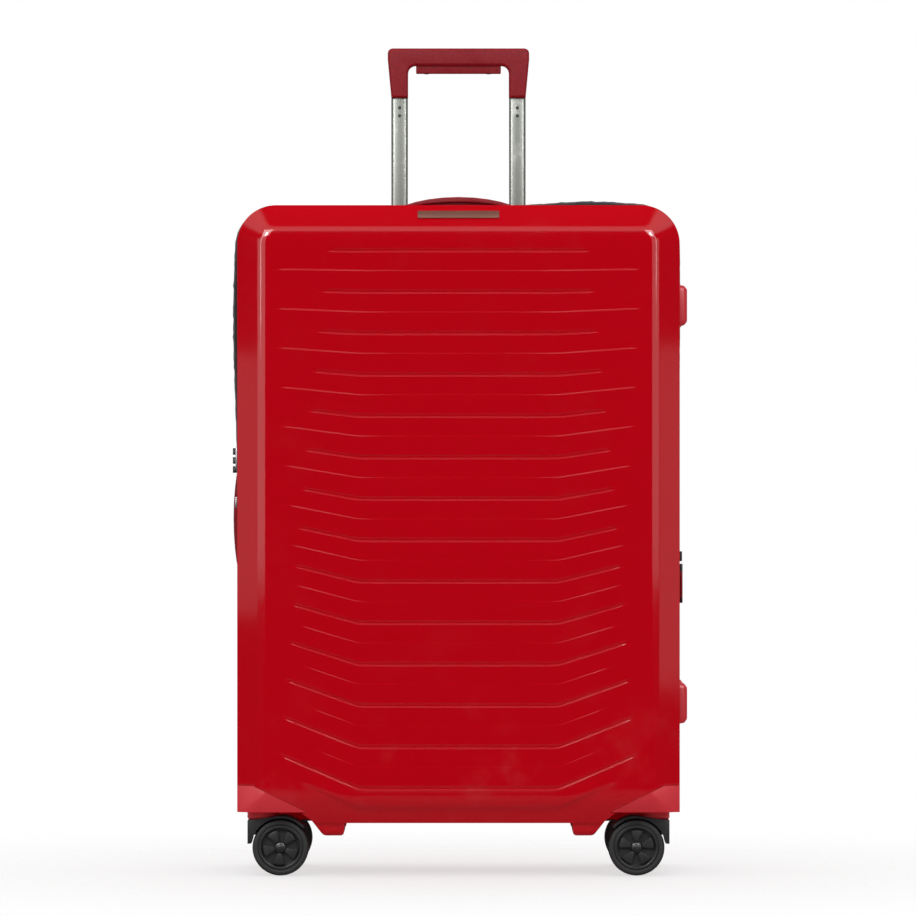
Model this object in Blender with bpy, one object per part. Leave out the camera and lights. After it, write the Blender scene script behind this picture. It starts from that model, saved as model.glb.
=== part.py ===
"""A hard-shell upright suitcase on four swivel casters, standing closed with its handle part way up.

Metres, +Z up. The front faces -Y, and the origin is on the floor under the middle of the case.
"""

import math

import bmesh
import bpy
from mathutils import Matrix, Vector

MM = 0.001
GAP = 0.3 * MM  # clearance between pieces that touch

# The case: two moulded halves, zipped together round a soft frame
HALF_WIDTH = 228.5 * MM
HALF_DEPTH = 142 * MM
CASE_BOTTOM = 54.6 * MM
CASE_TOP = 692.7 * MM
CORNER_R = 40 * MM  # the two upper corners, seen from the front
LOW_CORNER_R = 32 * MM
GUARD_CORNER_R = 12 * MM  # the corner guards fill the lower corners out
GUARD_TOP = 93.5 * MM
BEVEL_IN = 25 * MM  # how far the face's edge lies inside the case's outline
BEVEL_DEPTH = 20 * MM
FACE_ROLL = 4 * MM
WALL = 2.5 * MM
LINING = 1.4 * MM
BACK_FLOOR = 84 * MM  # the back half's liner lies over the handle's tubes
FRONT_RIM = -20 * MM
BACK_RIM = 8 * MM
CASE_MIDDLE = (CASE_BOTTOM + CASE_TOP) / 2
HALF_HEIGHT = (CASE_TOP - CASE_BOTTOM) / 2
SIDE_REACH = 237.5 * MM  # the furthest any side fitting stands out

# The soft frame between the halves
TAPE_PROUD = 2.5 * MM
MAIN_ZIP_Y = 0
BAND_FRONT = -12.7 * MM

# Casters
SWIVEL_X = 202 * MM
SWIVEL_Y = 95 * MM
TRAIL = 18 * MM
WHEEL_R = 29 * MM
WHEEL_WIDTH = 19 * MM
WEB_HALF = 3 * MM
AXLE_R = 3.5 * MM
WELL_TOP = 66 * MM
CASTERS = {
    "front_left": (-1, -1),
    "front_right": (1, -1),
    "back_left": (-1, 1),
    "back_right": (1, 1),
}

# Trolley handle
TUBE_X = 62.5 * MM
TUBE_Y = 104 * MM
TOP_TUBE = (17.5 * MM, 12.5 * MM)
TUBE_WALL = 1.2 * MM
TUBE_PLAY = 0.4 * MM
GRIP_TOP = 866 * MM
GRIP_BOTTOM = 813.9 * MM
GRIP_HALF = 75 * MM
BAR_BOTTOM = 848 * MM
PAD_BOTTOM = 839.5 * MM
TRAY_FLOOR = 664 * MM
FOOT_TOP = 112 * MM

# Carry handles
HANDLE_HALF = 63 * MM
TOP_HANDLE_Y = 50 * MM
SIDE_HANDLE_Y = 66 * MM
SIDE_HANDLE_Z = 368 * MM

# Lock
LOCK_Z = 432 * MM
LOCK_HALF = 38 * MM
LOCK_Y = (9 * MM, 41 * MM)
LOCK_FACE = 232.5 * MM
DIAL_R = 7 * MM
DIAL_Y = 29 * MM

COLOURS = {
    "shell_red": ((0.42, 0.003, 0.010), 0.16, 0.0),
    "satin_red": ((0.50, 0.020, 0.030), 0.40, 0.0),
    "grip_red": ((0.27, 0.018, 0.024), 0.55, 0.0),
    "coral": ((0.60, 0.16, 0.13), 0.35, 0.0),
    "black_plastic": ((0.012, 0.012, 0.013), 0.45, 0.0),
    "black_fabric": ((0.016, 0.016, 0.018), 0.90, 0.0),
    "lining_grey": ((0.06, 0.06, 0.065), 0.95, 0.0),
    "tube_metal": ((0.42, 0.44, 0.40), 0.32, 1.0),
    "tyre_black": ((0.020, 0.020, 0.021), 0.60, 0.0),
    "zinc": ((0.55, 0.55, 0.56), 0.30, 1.0),
}


def clear_scene():
    for obj in list(bpy.data.objects):
        bpy.data.objects.remove(obj, do_unlink=True)


def material(name):
    found = bpy.data.materials.get(name)
    if found:
        return found
    colour, roughness, metallic = COLOURS[name]
    made = bpy.data.materials.new(name)
    made.use_nodes = True
    shader = made.node_tree.nodes["Principled BSDF"]
    shader.inputs["Base Color"].default_value = (*colour, 1)
    shader.inputs["Roughness"].default_value = roughness
    shader.inputs["Metallic"].default_value = metallic
    made.diffuse_color = (*colour, 1)
    return made


def add_object(name, mesh, slot, at=(0, 0, 0), smooth=False):
    """A scene object of its own; a name with no slot is a helper that is never rendered."""
    obj = bpy.data.objects.new(name, mesh)
    obj.location = at
    bpy.context.scene.collection.objects.link(obj)
    if slot:
        mesh.materials.clear()
        mesh.materials.append(material(slot))
    else:
        obj.hide_render = True
        obj.display_type = "WIRE"
    if smooth:
        for face in mesh.polygons:
            face.use_smooth = True
    return obj


def mesh_of(name, bm):
    bmesh.ops.recalc_face_normals(bm, faces=bm.faces)
    mesh = bpy.data.meshes.new(name)
    bm.to_mesh(mesh)
    bm.free()
    return mesh


def lofted(name, loops, ring=False):
    """Rows of points joined into one closed skin, with its two ends capped, or joined when it's a ring."""
    bm = bmesh.new()
    rows = [[bm.verts.new(point) for point in loop] for loop in loops]
    pairs = list(zip(rows, rows[1:]))
    if ring:
        pairs.append((rows[-1], rows[0]))
    else:
        bm.faces.new(rows[0])
        bm.faces.new(rows[-1])
    for low, high in pairs:
        count = len(low)
        for i in range(count):
            j = (i + 1) % count
            bm.faces.new((low[i], low[j], high[j], high[i]))
    return mesh_of(name, bm)


def extruded(name, outline, span, place):
    """An outline of (u, v) points carried from span[0] to span[1]; place turns (u, v, w) into a point."""
    return lofted(name, [[place(u, v, w) for u, v in outline] for w in span])


def along_y(u, v, w):
    return (u, w, v)


def along_z(u, v, w):
    return (u, v, w)


def box_mesh(name, low, high):
    corners = [(low[0], low[1]), (high[0], low[1]), (high[0], high[1]), (low[0], high[1])]
    return extruded(name, corners, (low[2], high[2]), along_z)


def helper_box(name, low, high):
    return add_object(name, box_mesh(name, low, high), None)


def arc(centre, radius, start_deg, end_deg, steps):
    points = []
    for i in range(steps + 1):
        angle = math.radians(start_deg + (end_deg - start_deg) * i / steps)
        points.append((centre[0] + radius * math.cos(angle), centre[1] + radius * math.sin(angle)))
    return points


def rounded_rect(half_u, half_v, radius, steps=5, centre=(0, 0), low_radius=None):
    """The outline of a rectangle with round corners, counted from its right side's top end."""
    points = []
    for number, (su, sv) in enumerate(((1, 1), (-1, 1), (-1, -1), (1, -1))):
        size = radius if sv > 0 or low_radius is None else low_radius
        middle = (centre[0] + su * (half_u - size), centre[1] + sv * (half_v - size))
        points += arc(middle, size, 90 * number, 90 * number + 90, steps)
    return points


def combine(obj, other, operation):
    modifier = obj.modifiers.new(f"{operation.lower()}_{other.name}", "BOOLEAN")
    modifier.operation = operation
    modifier.object = other
    modifier.solver = "EXACT"


def cut(obj, *others):
    for other in others:
        combine(obj, other, "DIFFERENCE")


def join(obj, *others):
    for other in others:
        combine(obj, other, "UNION")


def case_loop(y, inset, low_radius):
    """The case's outline in its front view, at depth y, drawn in by inset."""
    high = max(CORNER_R - inset, 8 * MM)
    low = max(low_radius - inset, 4 * MM)
    middle = (0, CASE_MIDDLE)
    outline = rounded_rect(HALF_WIDTH - inset, HALF_HEIGHT - inset, high, 5, middle, low)
    return [(x, y, z) for x, z in outline]


def skin_rows(side, rim, inset, floor=None, low_radius=LOW_CORNER_R):
    """Rows from a half's rim to its face, for a skin lying inset inside the outer one."""
    depth = HALF_DEPTH - inset if floor is None else floor
    bend = 0.4 * inset
    rows = [
        (rim, inset),
        (side * (depth - BEVEL_DEPTH), inset),
        (side * (depth - FACE_ROLL), inset + BEVEL_IN - FACE_ROLL - bend),
        (side * depth, inset + BEVEL_IN + FACE_ROLL - bend),
    ]
    return [case_loop(y, drawn, low_radius) for y, drawn in rows]


def form(name, side, rim, inset, floor=None, low_radius=LOW_CORNER_R):
    """A helper solid bounded by one of the half's skins."""
    rows = skin_rows(side, rim, inset, floor, low_radius)
    return add_object(name, lofted(name, rows), None)


def well_cutter(name, sx, sy):
    """The open space round a caster, seen from the front as a step with a sloping inner side."""
    outline = [(240, 30), (136, 30), (140.5, 45), (151, 56.6), (163, 66), (240, 66)]
    points = [(sx * x * MM, z * MM) for x, z in outline]
    return add_object(name, extruded(name, points, (sy * 150 * MM, sy * 38 * MM), along_y), None)


def guard_region(name, sx, sy, grow):
    """The corner block that a guard covers: low at its inner ends and high at the case's corner."""
    bm = bmesh.new()
    bmesh.ops.create_cube(bm, size=1)
    low = (158 * MM - grow, 40 * MM - grow, WELL_TOP - 2 * grow)
    high = (240 * MM, 150 * MM, GUARD_TOP + grow)
    for vert in bm.verts:
        vert.co = [low[i] if vert.co[i] < 0 else high[i] for i in range(3)]
    planes = (
        (Vector((158 * MM, 0, 67 * MM)), Vector((51 * MM, 0, 25 * MM)), Vector((0, 1, 0))),
        (Vector((0, 40 * MM, 67 * MM)), Vector((0, 60 * MM, 25 * MM)), Vector((-1, 0, 0))),
    )
    for start, direction, across in planes:
        normal = across.cross(direction).normalized()
        if normal.z < 0:
            normal = -normal
        everything = bm.verts[:] + bm.edges[:] + bm.faces[:]
        made = bmesh.ops.bisect_plane(
            bm, geom=everything, plane_co=start + normal * grow, plane_no=normal, clear_outer=True
        )
        edges = [item for item in made["geom_cut"] if isinstance(item, bmesh.types.BMEdge)]
        bmesh.ops.edgeloop_fill(bm, edges=edges)
    for vert in bm.verts:
        vert.co.x *= sx
        vert.co.y *= sy
    return add_object(name, mesh_of(name, bm), None)


def runner(name, sx, sy):
    """A moulded skid beside the wheel well, lower than the case's bottom."""
    outline = [(118, 56), (118, 47.5), (121, 43.8), (138, 43.8), (141, 45.5), (150, 56)]
    points = [(sx * x * MM, z * MM) for x, z in outline]
    return add_object(name, extruded(name, points, (sy * 52 * MM, sy * 118 * MM), along_y), None)


HANDLE_POCKETS = {
    "top_handle": ((-73, 33, 670), (73, 67, 720)),
    "side_handle": ((-240, 49, 295), (-205, 83, 441)),
    "lock": ((-240, 4, 388), (-205, 44, 476)),
}


def fitting_pocket(name, which, grow):
    low, high = HANDLE_POCKETS[which]
    return helper_box(name, [v * MM - grow for v in low], [v * MM + grow for v in high])


def make_shell(name, side, rim):
    """One moulded half: a deep tray with a wheel housing in each lower corner."""
    outer = skin_rows(side, rim, 0)
    inner = skin_rows(side, rim, WALL)
    shell = add_object(name, lofted(name, outer[::-1] + inner), "shell_red")
    core = form(f"{name}_core", side, rim, 1 * MM)
    recess = form(f"{name}_recess_core", side, side * 30 * MM, 2 * MM + GAP)
    floor = helper_box(
        f"{name}_recess_floor", (-0.3, -0.3, 0), (0.3, 0.3, WELL_TOP + 3.5 * MM + GAP)
    )
    cut(recess, floor)
    for sx in (-1, 1):
        tag = f"{name}_{'left' if sx < 0 else 'right'}"
        ends = sorted((sx * 133 * MM, sx * 250 * MM))
        ys = sorted((side * 33 * MM, side * 160 * MM))
        low = (ends[0], ys[0], 56 * MM)
        housing = helper_box(f"{tag}_housing", low, (ends[1], ys[1], 100 * MM))
        combine(housing, core, "INTERSECT")
        join(shell, housing, runner(f"{tag}_runner", sx, side))
    for sx in (-1, 1):
        tag = f"{name}_{'left' if sx < 0 else 'right'}"
        region = guard_region(f"{tag}_guard_space", sx, side, GAP)
        cut(region, recess)
        cut(shell, well_cutter(f"{tag}_well", sx, side), region)
    return shell


def make_guard(name, sx, sy):
    """A corner guard: a skin let into the shell's corner, with a plate that carries the swivel."""
    guard = guard_region(name, sx, sy, 0)
    guard.hide_render = False
    guard.display_type = "TEXTURED"
    guard.data.materials.append(material("satin_red"))
    core = form(f"{name}_core", sy, sy * 30 * MM, 2 * MM)
    cut(core, helper_box(f"{name}_floor", (-0.3, -0.3, 0), (0.3, 0.3, WELL_TOP + 3.5 * MM)))
    outer = form(f"{name}_outer", sy, sy * 30 * MM, 0, low_radius=GUARD_CORNER_R)
    combine(guard, outer, "INTERSECT")
    bore = drum(f"{name}_bore", 5.6 * MM, (WELL_TOP - 10 * MM, WELL_TOP + 10 * MM), 20)
    bore.location = (sx * SWIVEL_X, sy * SWIVEL_Y, 0)
    cut(guard, core, bore)


def drum(name, radius, span, steps, place=along_z, slot=None, centre=(0, 0)):
    outline = arc(centre, radius, 0, 360, steps)[:-1]
    return add_object(name, extruded(name, outline, span, place), slot, smooth=bool(slot))


def make_lining(name, side, rim, floor):
    """A thin fabric liner that steps round the wheel housings and the fittings."""
    skins = []
    for number, inset in enumerate((WALL + 0.5 * MM, WALL + 0.5 * MM + LINING)):
        mouth = rim + side * (4 - 6 * number) * MM
        skin = form(f"{name}_skin_{number}", side, mouth, inset, floor and floor - number * LINING)
        grow = 0.8 * MM + LINING * number
        for sx in (-1, 1):
            xs = sorted((sx * (133 * MM - grow), sx * 0.3))
            ys = sorted((side * (33 * MM - grow), side * 0.3))
            tag = f"{name}_housing_{number}_{sx}"
            cut(skin, helper_box(tag, (xs[0], ys[0], 0), (xs[1], ys[1], 100 * MM + grow)))
        if side > 0:
            for which in HANDLE_POCKETS:
                cut(skin, fitting_pocket(f"{name}_{which}_{number}", which, grow))
        skins.append(skin)
    lining = skins[0]
    lining.name = name
    lining.hide_render = False
    lining.display_type = "TEXTURED"
    lining.data.materials.append(material("lining_grey"))
    cut(lining, skins[1])


def ring_loop(y, out):
    """The case's outline at depth y, standing out from the shells by out."""
    high = CORNER_R + out
    low = LOW_CORNER_R + out
    middle = (0, CASE_MIDDLE)
    outline = rounded_rect(HALF_WIDTH + out, HALF_HEIGHT + out, high, 5, middle, low)
    return [(x, y, z) for x, z in outline]


def make_ring(name, profile, slot="black_fabric"):
    """A strip carried right round the case; profile is its cross-section in (y, out) points."""
    rows = [ring_loop(y, out) for y, out in profile]
    return add_object(name, lofted(name, rows, ring=True), slot)


def tape_profile(shell_side, free_side, lip):
    """A proud tape between shell_side and free_side, with a sewn lip reaching inside the shell."""
    inner = -(WALL + 0.25 * MM)
    return [
        (shell_side, TAPE_PROUD),
        (free_side, TAPE_PROUD),
        (free_side, inner - 1.4 * MM),
        (lip, inner - 1.4 * MM),
        (lip, inner),
        (shell_side, inner),
    ]


def make_soft_frame():
    back_tape = make_ring(
        "back_zip_tape",
        tape_profile(BACK_RIM - GAP, MAIN_ZIP_Y + 0.2 * MM, BACK_RIM + 3 * MM),
    )
    make_ring(
        "front_zip_tape",
        tape_profile(FRONT_RIM + GAP, BAND_FRONT - GAP, FRONT_RIM - 3 * MM),
    )
    make_ring(
        "front_band",
        [
            (BAND_FRONT, TAPE_PROUD),
            (MAIN_ZIP_Y - 0.1 * MM, TAPE_PROUD),
            (MAIN_ZIP_Y - 0.1 * MM, -4.1 * MM),
            (BAND_FRONT, -4.1 * MM),
        ],
    )
    make_ring(
        "expansion_gusset",
        [
            (FRONT_RIM - 2 * MM, -4.6 * MM),
            (MAIN_ZIP_Y - 1.5 * MM, -4.6 * MM),
            (MAIN_ZIP_Y - 1.5 * MM, -6.4 * MM),
            (FRONT_RIM - 2 * MM, -6.4 * MM),
        ],
    )
    cut(back_tape, fitting_pocket("lock_gap_in_tape", "lock", -1 * MM))


def make_side_foot(name, y, z):
    """A moulded stud for laying the case on its right side."""
    half = 21.5 * MM
    base = HALF_WIDTH + GAP
    rows = []
    for reach, drawn in ((base, 0), (SIDE_REACH - 3 * MM, 1 * MM), (SIDE_REACH, 5 * MM)):
        outline = rounded_rect(11 * MM - drawn, half - drawn, 6 * MM - 0.7 * drawn, 4, (y, z))
        rows.append([(reach, u, v) for u, v in outline])
    add_object(name, lofted(name, rows), "satin_red")


def make_name_plate():
    """A blank plate that lies on the slope above the front face."""
    half_x = 42 * MM
    plate = box_mesh("name_plate", (-half_x, -4.6 * MM, 0), (half_x, 4.6 * MM, 1.2 * MM))
    obj = add_object("name_plate", plate, "coral")
    low = Vector((0, -(HALF_DEPTH - FACE_ROLL), CASE_TOP - BEVEL_IN + FACE_ROLL))
    high = Vector((0, -(HALF_DEPTH - BEVEL_DEPTH), CASE_TOP))
    slope = (high - low).normalized()
    normal = Vector((1, 0, 0)).cross(slope)
    middle = (low + high) / 2 + normal * 0.35 * MM
    turn = Matrix((Vector((1, 0, 0)), slope, normal)).transposed().to_4x4()
    obj.matrix_world = Matrix.Translation(middle) @ turn


def make_caster(name, sx, sy):
    """A swivelling fork with a hood, and the two wheels on its axle; the trail points inwards."""
    swivel = bpy.data.objects.new(f"{name}_swivel", None)
    swivel.location = (sx * SWIVEL_X, sy * SWIVEL_Y, 0)
    bpy.context.scene.collection.objects.link(swivel)
    trail = -sx * TRAIL

    def side(points):
        return [(-sx * u, v) for u, v in points]

    wheel = (TRAIL, WHEEL_R)
    hood_in = WHEEL_R + 1.5 * MM
    hood_out = WHEEL_R + 4.2 * MM
    outline = arc(wheel, hood_in, 41, 172, 10)
    outline += [(-16 * MM, 33 * MM), (-16 * MM, 57 * MM), (14 * MM, 61.5 * MM)]
    outline += arc(wheel, hood_out, 82, 41, 4)
    half = WEB_HALF + WHEEL_WIDTH + 1.6 * MM
    hood = extruded(f"{name}_fork", side(outline), (-half, half), along_y)
    fork = add_object(f"{name}_fork", hood, "black_plastic")
    web_outline = arc(wheel, 8 * MM, 180, 360, 6)
    web_outline += arc(wheel, hood_in + 1.2 * MM, 50, 150, 6)
    web = extruded(f"{name}_web", side(web_outline), (-WEB_HALF, WEB_HALF), along_y)
    stem = drum(f"{name}_stem", 5 * MM, (58 * MM, WELL_TOP + 3.2 * MM), 16)
    plate = drum(f"{name}_plate", 16 * MM, (60 * MM, WELL_TOP - GAP), 24)
    axle_reach = WEB_HALF + WHEEL_WIDTH - 1.5 * MM
    span = (-axle_reach, axle_reach)
    axle = drum(f"{name}_axle", AXLE_R, span, 12, along_y, None, (trail, WHEEL_R))
    web = add_object(f"{name}_web", web, None)
    join(fork, web, plate, stem, axle)
    for piece in (fork, web, stem, plate, axle):
        piece.parent = swivel
    for end, sign in (("front", -1), ("rear", 1)):
        wheel_obj = make_wheel(f"{name}_wheel_{end}", sign)
        wheel_obj.parent = swivel
        wheel_obj.location = (trail, sign * (WEB_HALF + 0.6 * MM), WHEEL_R)


def make_wheel(name, sign):
    """A wheel turned about its own Y axis, running outwards from the web."""
    width = WHEEL_WIDTH - 0.6 * MM
    profile = [
        (4 * MM, 0),
        (WHEEL_R - 2 * MM, 0),
        (WHEEL_R, 2.5 * MM),
        (WHEEL_R, width - 2.5 * MM),
        (WHEEL_R - 2 * MM, width),
        (WHEEL_R - 6 * MM, width),
        (WHEEL_R - 7 * MM, width - 2 * MM),
        (4 * MM, width - 2 * MM),
    ]
    steps = 24
    rows = []
    for i in range(steps):
        angle = 2 * math.pi * i / steps
        rows.append([(r * math.cos(angle), sign * y, r * math.sin(angle)) for r, y in profile])
    return add_object(name, lofted(name, rows, ring=True), "tyre_black", smooth=True)


def tube(name, x, size, low, high, slot="tube_metal"):
    """An open rectangular tube with rounded corners."""
    middle = (x, TUBE_Y)
    outer = rounded_rect(size[0] / 2, size[1] / 2, 3.5 * MM, 3, middle)
    inner = rounded_rect(size[0] / 2 - TUBE_WALL, size[1] / 2 - TUBE_WALL, 2.3 * MM, 3, middle)
    ends = ((outer, low), (outer, high), (inner, high), (inner, low))
    rows = [[(u, v, z) for u, v in loop] for loop, z in ends]
    return add_object(name, lofted(name, rows, ring=True), slot)


def grown(size):
    more = 2 * (TUBE_WALL + TUBE_PLAY)
    return (size[0] + more, size[1] + more)


def make_trolley():
    mid_tube = grown(TOP_TUBE)
    outer_tube = grown(mid_tube)
    for side, sx in (("left", -1), ("right", 1)):
        x = sx * TUBE_X
        tube(f"trolley_outer_{side}", x, outer_tube, 100.3 * MM, TRAY_FLOOR - 2.8 * MM)
        tube(f"trolley_mid_{side}", x, mid_tube, 118 * MM, TRAY_FLOOR - 0.5 * MM)
        tube(f"trolley_top_{side}", x, TOP_TUBE, 300 * MM, GRIP_BOTTOM - GAP)
    make_foot(outer_tube)
    make_tray(mid_tube)
    make_grip()
    make_button()


def make_foot(outer_tube):
    """The bracket that holds the outer tubes' lower ends."""
    low = (-84 * MM, TUBE_Y - 14 * MM, 86 * MM)
    block = box_mesh("trolley_foot", low, (84 * MM, TUBE_Y + 14 * MM, FOOT_TOP))
    foot = add_object("trolley_foot", block, "black_plastic")
    for side, sx in (("left", -1), ("right", 1)):
        half_u = outer_tube[0] / 2 + GAP
        half_v = outer_tube[1] / 2 + GAP
        outline = rounded_rect(half_u, half_v, 3.5 * MM + GAP, 3, (sx * TUBE_X, TUBE_Y))
        name = f"foot_socket_{side}"
        span = (100 * MM, FOOT_TOP + 10 * MM)
        cut(foot, add_object(name, extruded(name, outline, span, along_z), None))


def make_tray(mid_tube):
    """The recess in the case's top that the grip sinks into, with the tubes' two guides in its floor."""
    flange_low = CASE_TOP + GAP
    flange = extruded(
        "trolley_tray",
        rounded_rect(85 * MM, 17 * MM, 6 * MM, 4, (0, TUBE_Y)),
        (flange_low, flange_low + 1.8 * MM),
        along_z,
    )
    tray = add_object("trolley_tray", flange, "black_plastic")
    body = rounded_rect(80 * MM, 14.2 * MM, 5 * MM, 4, (0, TUBE_Y))
    hollow = rounded_rect(78 * MM, 12.2 * MM, 3.4 * MM, 4, (0, TUBE_Y))
    well = extruded("tray_body", body, (TRAY_FLOOR - 2.5 * MM, flange_low + 1 * MM), along_z)
    join(tray, add_object("tray_body", well, None))
    space = extruded("tray_space", hollow, (TRAY_FLOOR, flange_low + 10 * MM), along_z)
    cut(tray, add_object("tray_space", space, None))
    for side, sx in (("left", -1), ("right", 1)):
        half_u = mid_tube[0] / 2 + GAP
        half_v = mid_tube[1] / 2 + GAP
        outline = rounded_rect(half_u, half_v, 3.5 * MM + GAP, 3, (sx * TUBE_X, TUBE_Y))
        name = f"tray_guide_{side}"
        span = (TRAY_FLOOR - 20 * MM, TRAY_FLOOR + 10 * MM)
        cut(tray, add_object(name, extruded(name, outline, span, along_z), None))


def make_grip():
    """A loop grip: two legs on the tubes and a bar across, with plugs that go down into the tubes."""
    foot_half = TUBE_X + TOP_TUBE[0] / 2
    inner = 53.5 * MM
    outline = [(-foot_half, GRIP_BOTTOM), (-inner, GRIP_BOTTOM)]
    outline += arc((-inner + 8 * MM, BAR_BOTTOM - 8 * MM), 8 * MM, 180, 90, 4)
    outline += arc((inner - 8 * MM, BAR_BOTTOM - 8 * MM), 8 * MM, 90, 0, 4)
    outline += [(inner, GRIP_BOTTOM), (foot_half, GRIP_BOTTOM), (GRIP_HALF, GRIP_TOP - 12 * MM)]
    outline += arc((GRIP_HALF - 5 * MM, GRIP_TOP - 5 * MM), 5 * MM, 0, 90, 3)
    outline += arc((-GRIP_HALF + 5 * MM, GRIP_TOP - 5 * MM), 5 * MM, 90, 180, 3)
    outline += [(-GRIP_HALF, GRIP_TOP - 12 * MM)]
    rows = []
    for y, drawn in ((-11, 2), (-9, 0), (9, 0), (11, 2)):
        rows.append(inset_loop(outline, drawn * MM, TUBE_Y + y * MM))
    grip = add_object("trolley_grip", lofted("trolley_grip", rows), "grip_red")
    for side, sx in (("left", -1), ("right", 1)):
        half_u = TOP_TUBE[0] / 2 - TUBE_WALL - GAP
        half_v = TOP_TUBE[1] / 2 - TUBE_WALL - GAP
        plug = rounded_rect(half_u, half_v, 2 * MM, 3, (sx * TUBE_X, TUBE_Y))
        name = f"grip_plug_{side}"
        span = (788 * MM, GRIP_BOTTOM + 6 * MM)
        join(grip, add_object(name, extruded(name, plug, span, along_z), None))
    cut(grip, bar_space("button_pocket", 45.5, 6.5, 830, 862))
    cut(grip, bar_space("button_slot", 66, 3.6, 850, 860))
    for side, sx in (("left", -1), ("right", 1)):
        centre = (sx * TUBE_X, TUBE_Y)
        cut(grip, drum(f"rod_bore_{side}", 2.6 * MM, (780 * MM, 855 * MM), 12, centre=centre))


def bar_space(name, half_x, half_y, low, high):
    """A helper block inside the grip's bar, in millimetres about the handle's middle."""
    start = (-half_x * MM, TUBE_Y - half_y * MM, low * MM)
    return helper_box(name, start, (half_x * MM, TUBE_Y + half_y * MM, high * MM))


def inset_loop(outline, inset, y):
    """The grip's outline at depth y, each point moved inwards along its corner's bisector."""
    rows = []
    count = len(outline)
    for i in range(count):
        before = Vector(outline[i - 1])
        here = Vector(outline[i])
        after = Vector(outline[(i + 1) % count])
        first = (here - before).normalized()
        second = (after - here).normalized()
        normal = Vector((first.y + second.y, -first.x - second.x)).normalized()
        share = max(normal.dot(Vector((first.y, -first.x))), 0.5)
        moved = here - normal * (inset / share)
        rows.append((moved.x, y, moved.y))
    return rows


def make_button():
    """The squeeze bar under the grip, with a wing over each tube that lifts its release rod."""
    low = (-45 * MM, TUBE_Y - 6 * MM, PAD_BOTTOM)
    bar = box_mesh("grip_button", low, (45 * MM, TUBE_Y + 6 * MM, 856.5 * MM))
    button = add_object("grip_button", bar, "black_plastic")
    join(button, bar_space("button_wing", 65.5, 3.2, 851, 854.5))
    for side, sx in (("left", -1), ("right", 1)):
        centre = (sx * TUBE_X, TUBE_Y)
        span = (320 * MM, 850.7 * MM)
        drum(f"release_rod_{side}", 2 * MM, span, 10, slot="zinc", centre=centre)


def handle_outline(rise):
    """A strap handle's side view: a shallow arch on two legs that go down through its base."""
    top = arch_points(rise, 0)
    under = arch_points(rise - 4.5 * MM, 9 * MM)
    end = HANDLE_HALF
    depth = -14 * MM
    outline = [(end, depth)] + top + [(-end, depth), (-end + 9 * MM, depth)] + under[::-1]
    outline.append((end - 9 * MM, depth))
    return outline


def arch_points(rise, drawn):
    """Points across the arch from right to left, level at its middle and low at its ends."""
    half = HANDLE_HALF - drawn
    points = []
    for i in range(13):
        u = math.cos(math.pi * i / 12)
        points.append((half * u, 1.5 * MM + (rise - 1.5 * MM) * (1 - u * u) ** 0.75))
    return points


def make_handle(name, place, rise):
    rows = []
    for w, drawn in ((-10, 1), (-8, 0), (8, 0), (10, 1)):
        rows.append([place(u, v, w * MM) for u, v in handle_outline(rise - drawn * MM)])
    return add_object(name, lofted(name, rows), "grip_red")


def make_handle_base(name, place):
    """A shallow cup let through the shell, with a lip outside and a slot for each of the handle's legs."""
    def ring(half_u, half_v, radius):
        return rounded_rect(half_u * MM, half_v * MM, radius * MM, 4)

    def piece(tag, outline, span):
        rows = [[place(u, w, v) for u, v in outline] for w in span]
        return lofted(tag, rows)

    base = add_object(name, piece(name, ring(70, 14, 6), (GAP, 1.4 * MM)), "black_plastic")
    cup = piece(f"{name}_cup", ring(66, 11.8, 5), (-17 * MM, 1 * MM))
    space = piece(f"{name}_space", ring(64.5, 10.5, 2), (-15.3 * MM, 10 * MM))
    join(base, add_object(f"{name}_cup", cup, None))
    cut(base, add_object(f"{name}_space", space, None))


def make_carry_handles():
    def on_top(u, v, w):
        return (u, TOP_HANDLE_Y + w, CASE_TOP + v)

    def on_side(u, v, w):
        return (-HALF_WIDTH - v, SIDE_HANDLE_Y + w, SIDE_HANDLE_Z + u)

    make_handle("top_handle", on_top, 14 * MM)
    make_handle("side_handle", on_side, SIDE_REACH - HALF_WIDTH)
    make_handle_base("top_handle_base", on_top)
    make_handle_base("side_handle_base", on_side)


def fitting_holes(shell):
    """Openings in the back shell for the tray, the handles' cups and the lock."""
    more = 0.4 * MM
    top = (680 * MM, 710 * MM)
    left = (-240 * MM, -215 * MM)
    handle_z = (SIDE_HANDLE_Z - 66 * MM, SIDE_HANDLE_Z + 66 * MM)
    lock_z = (LOCK_Z - LOCK_HALF + 3 * MM, LOCK_Z + LOCK_HALF - 3 * MM)
    holes = (
        ("tray_hole", (-80 * MM, 80 * MM), (TUBE_Y - 14.2 * MM, TUBE_Y + 14.2 * MM), top),
        ("top_cup_hole", (-66 * MM, 66 * MM), (TOP_HANDLE_Y - 11.8 * MM, TOP_HANDLE_Y + 11.8 * MM), top),
        ("side_cup_hole", left, (SIDE_HANDLE_Y - 11.8 * MM, SIDE_HANDLE_Y + 11.8 * MM), handle_z),
        ("lock_hole", left, (0, LOCK_Y[1] - 3 * MM), lock_z),
    )
    for name, *spans in holes:
        low = [span[0] - more for span in spans]
        high = [span[1] + more for span in spans]
        cut(shell, helper_box(name, low, high))


def lock_point(u, v, w):
    """Lock coordinates: u up from its middle, v out from the shell's side, w back from the zip."""
    return (-HALF_WIDTH - v, w, LOCK_Z + u)


def block_outline(low_u, high_u, low_w, high_w):
    return [(low_u, low_w), (high_u, low_w), (high_u, high_w), (low_u, high_w)]


def lock_piece(name, outline, span, slot=None):
    rows = [[lock_point(u, v, w) for u, w in outline] for v in span]
    return add_object(name, lofted(name, rows), slot)


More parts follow.
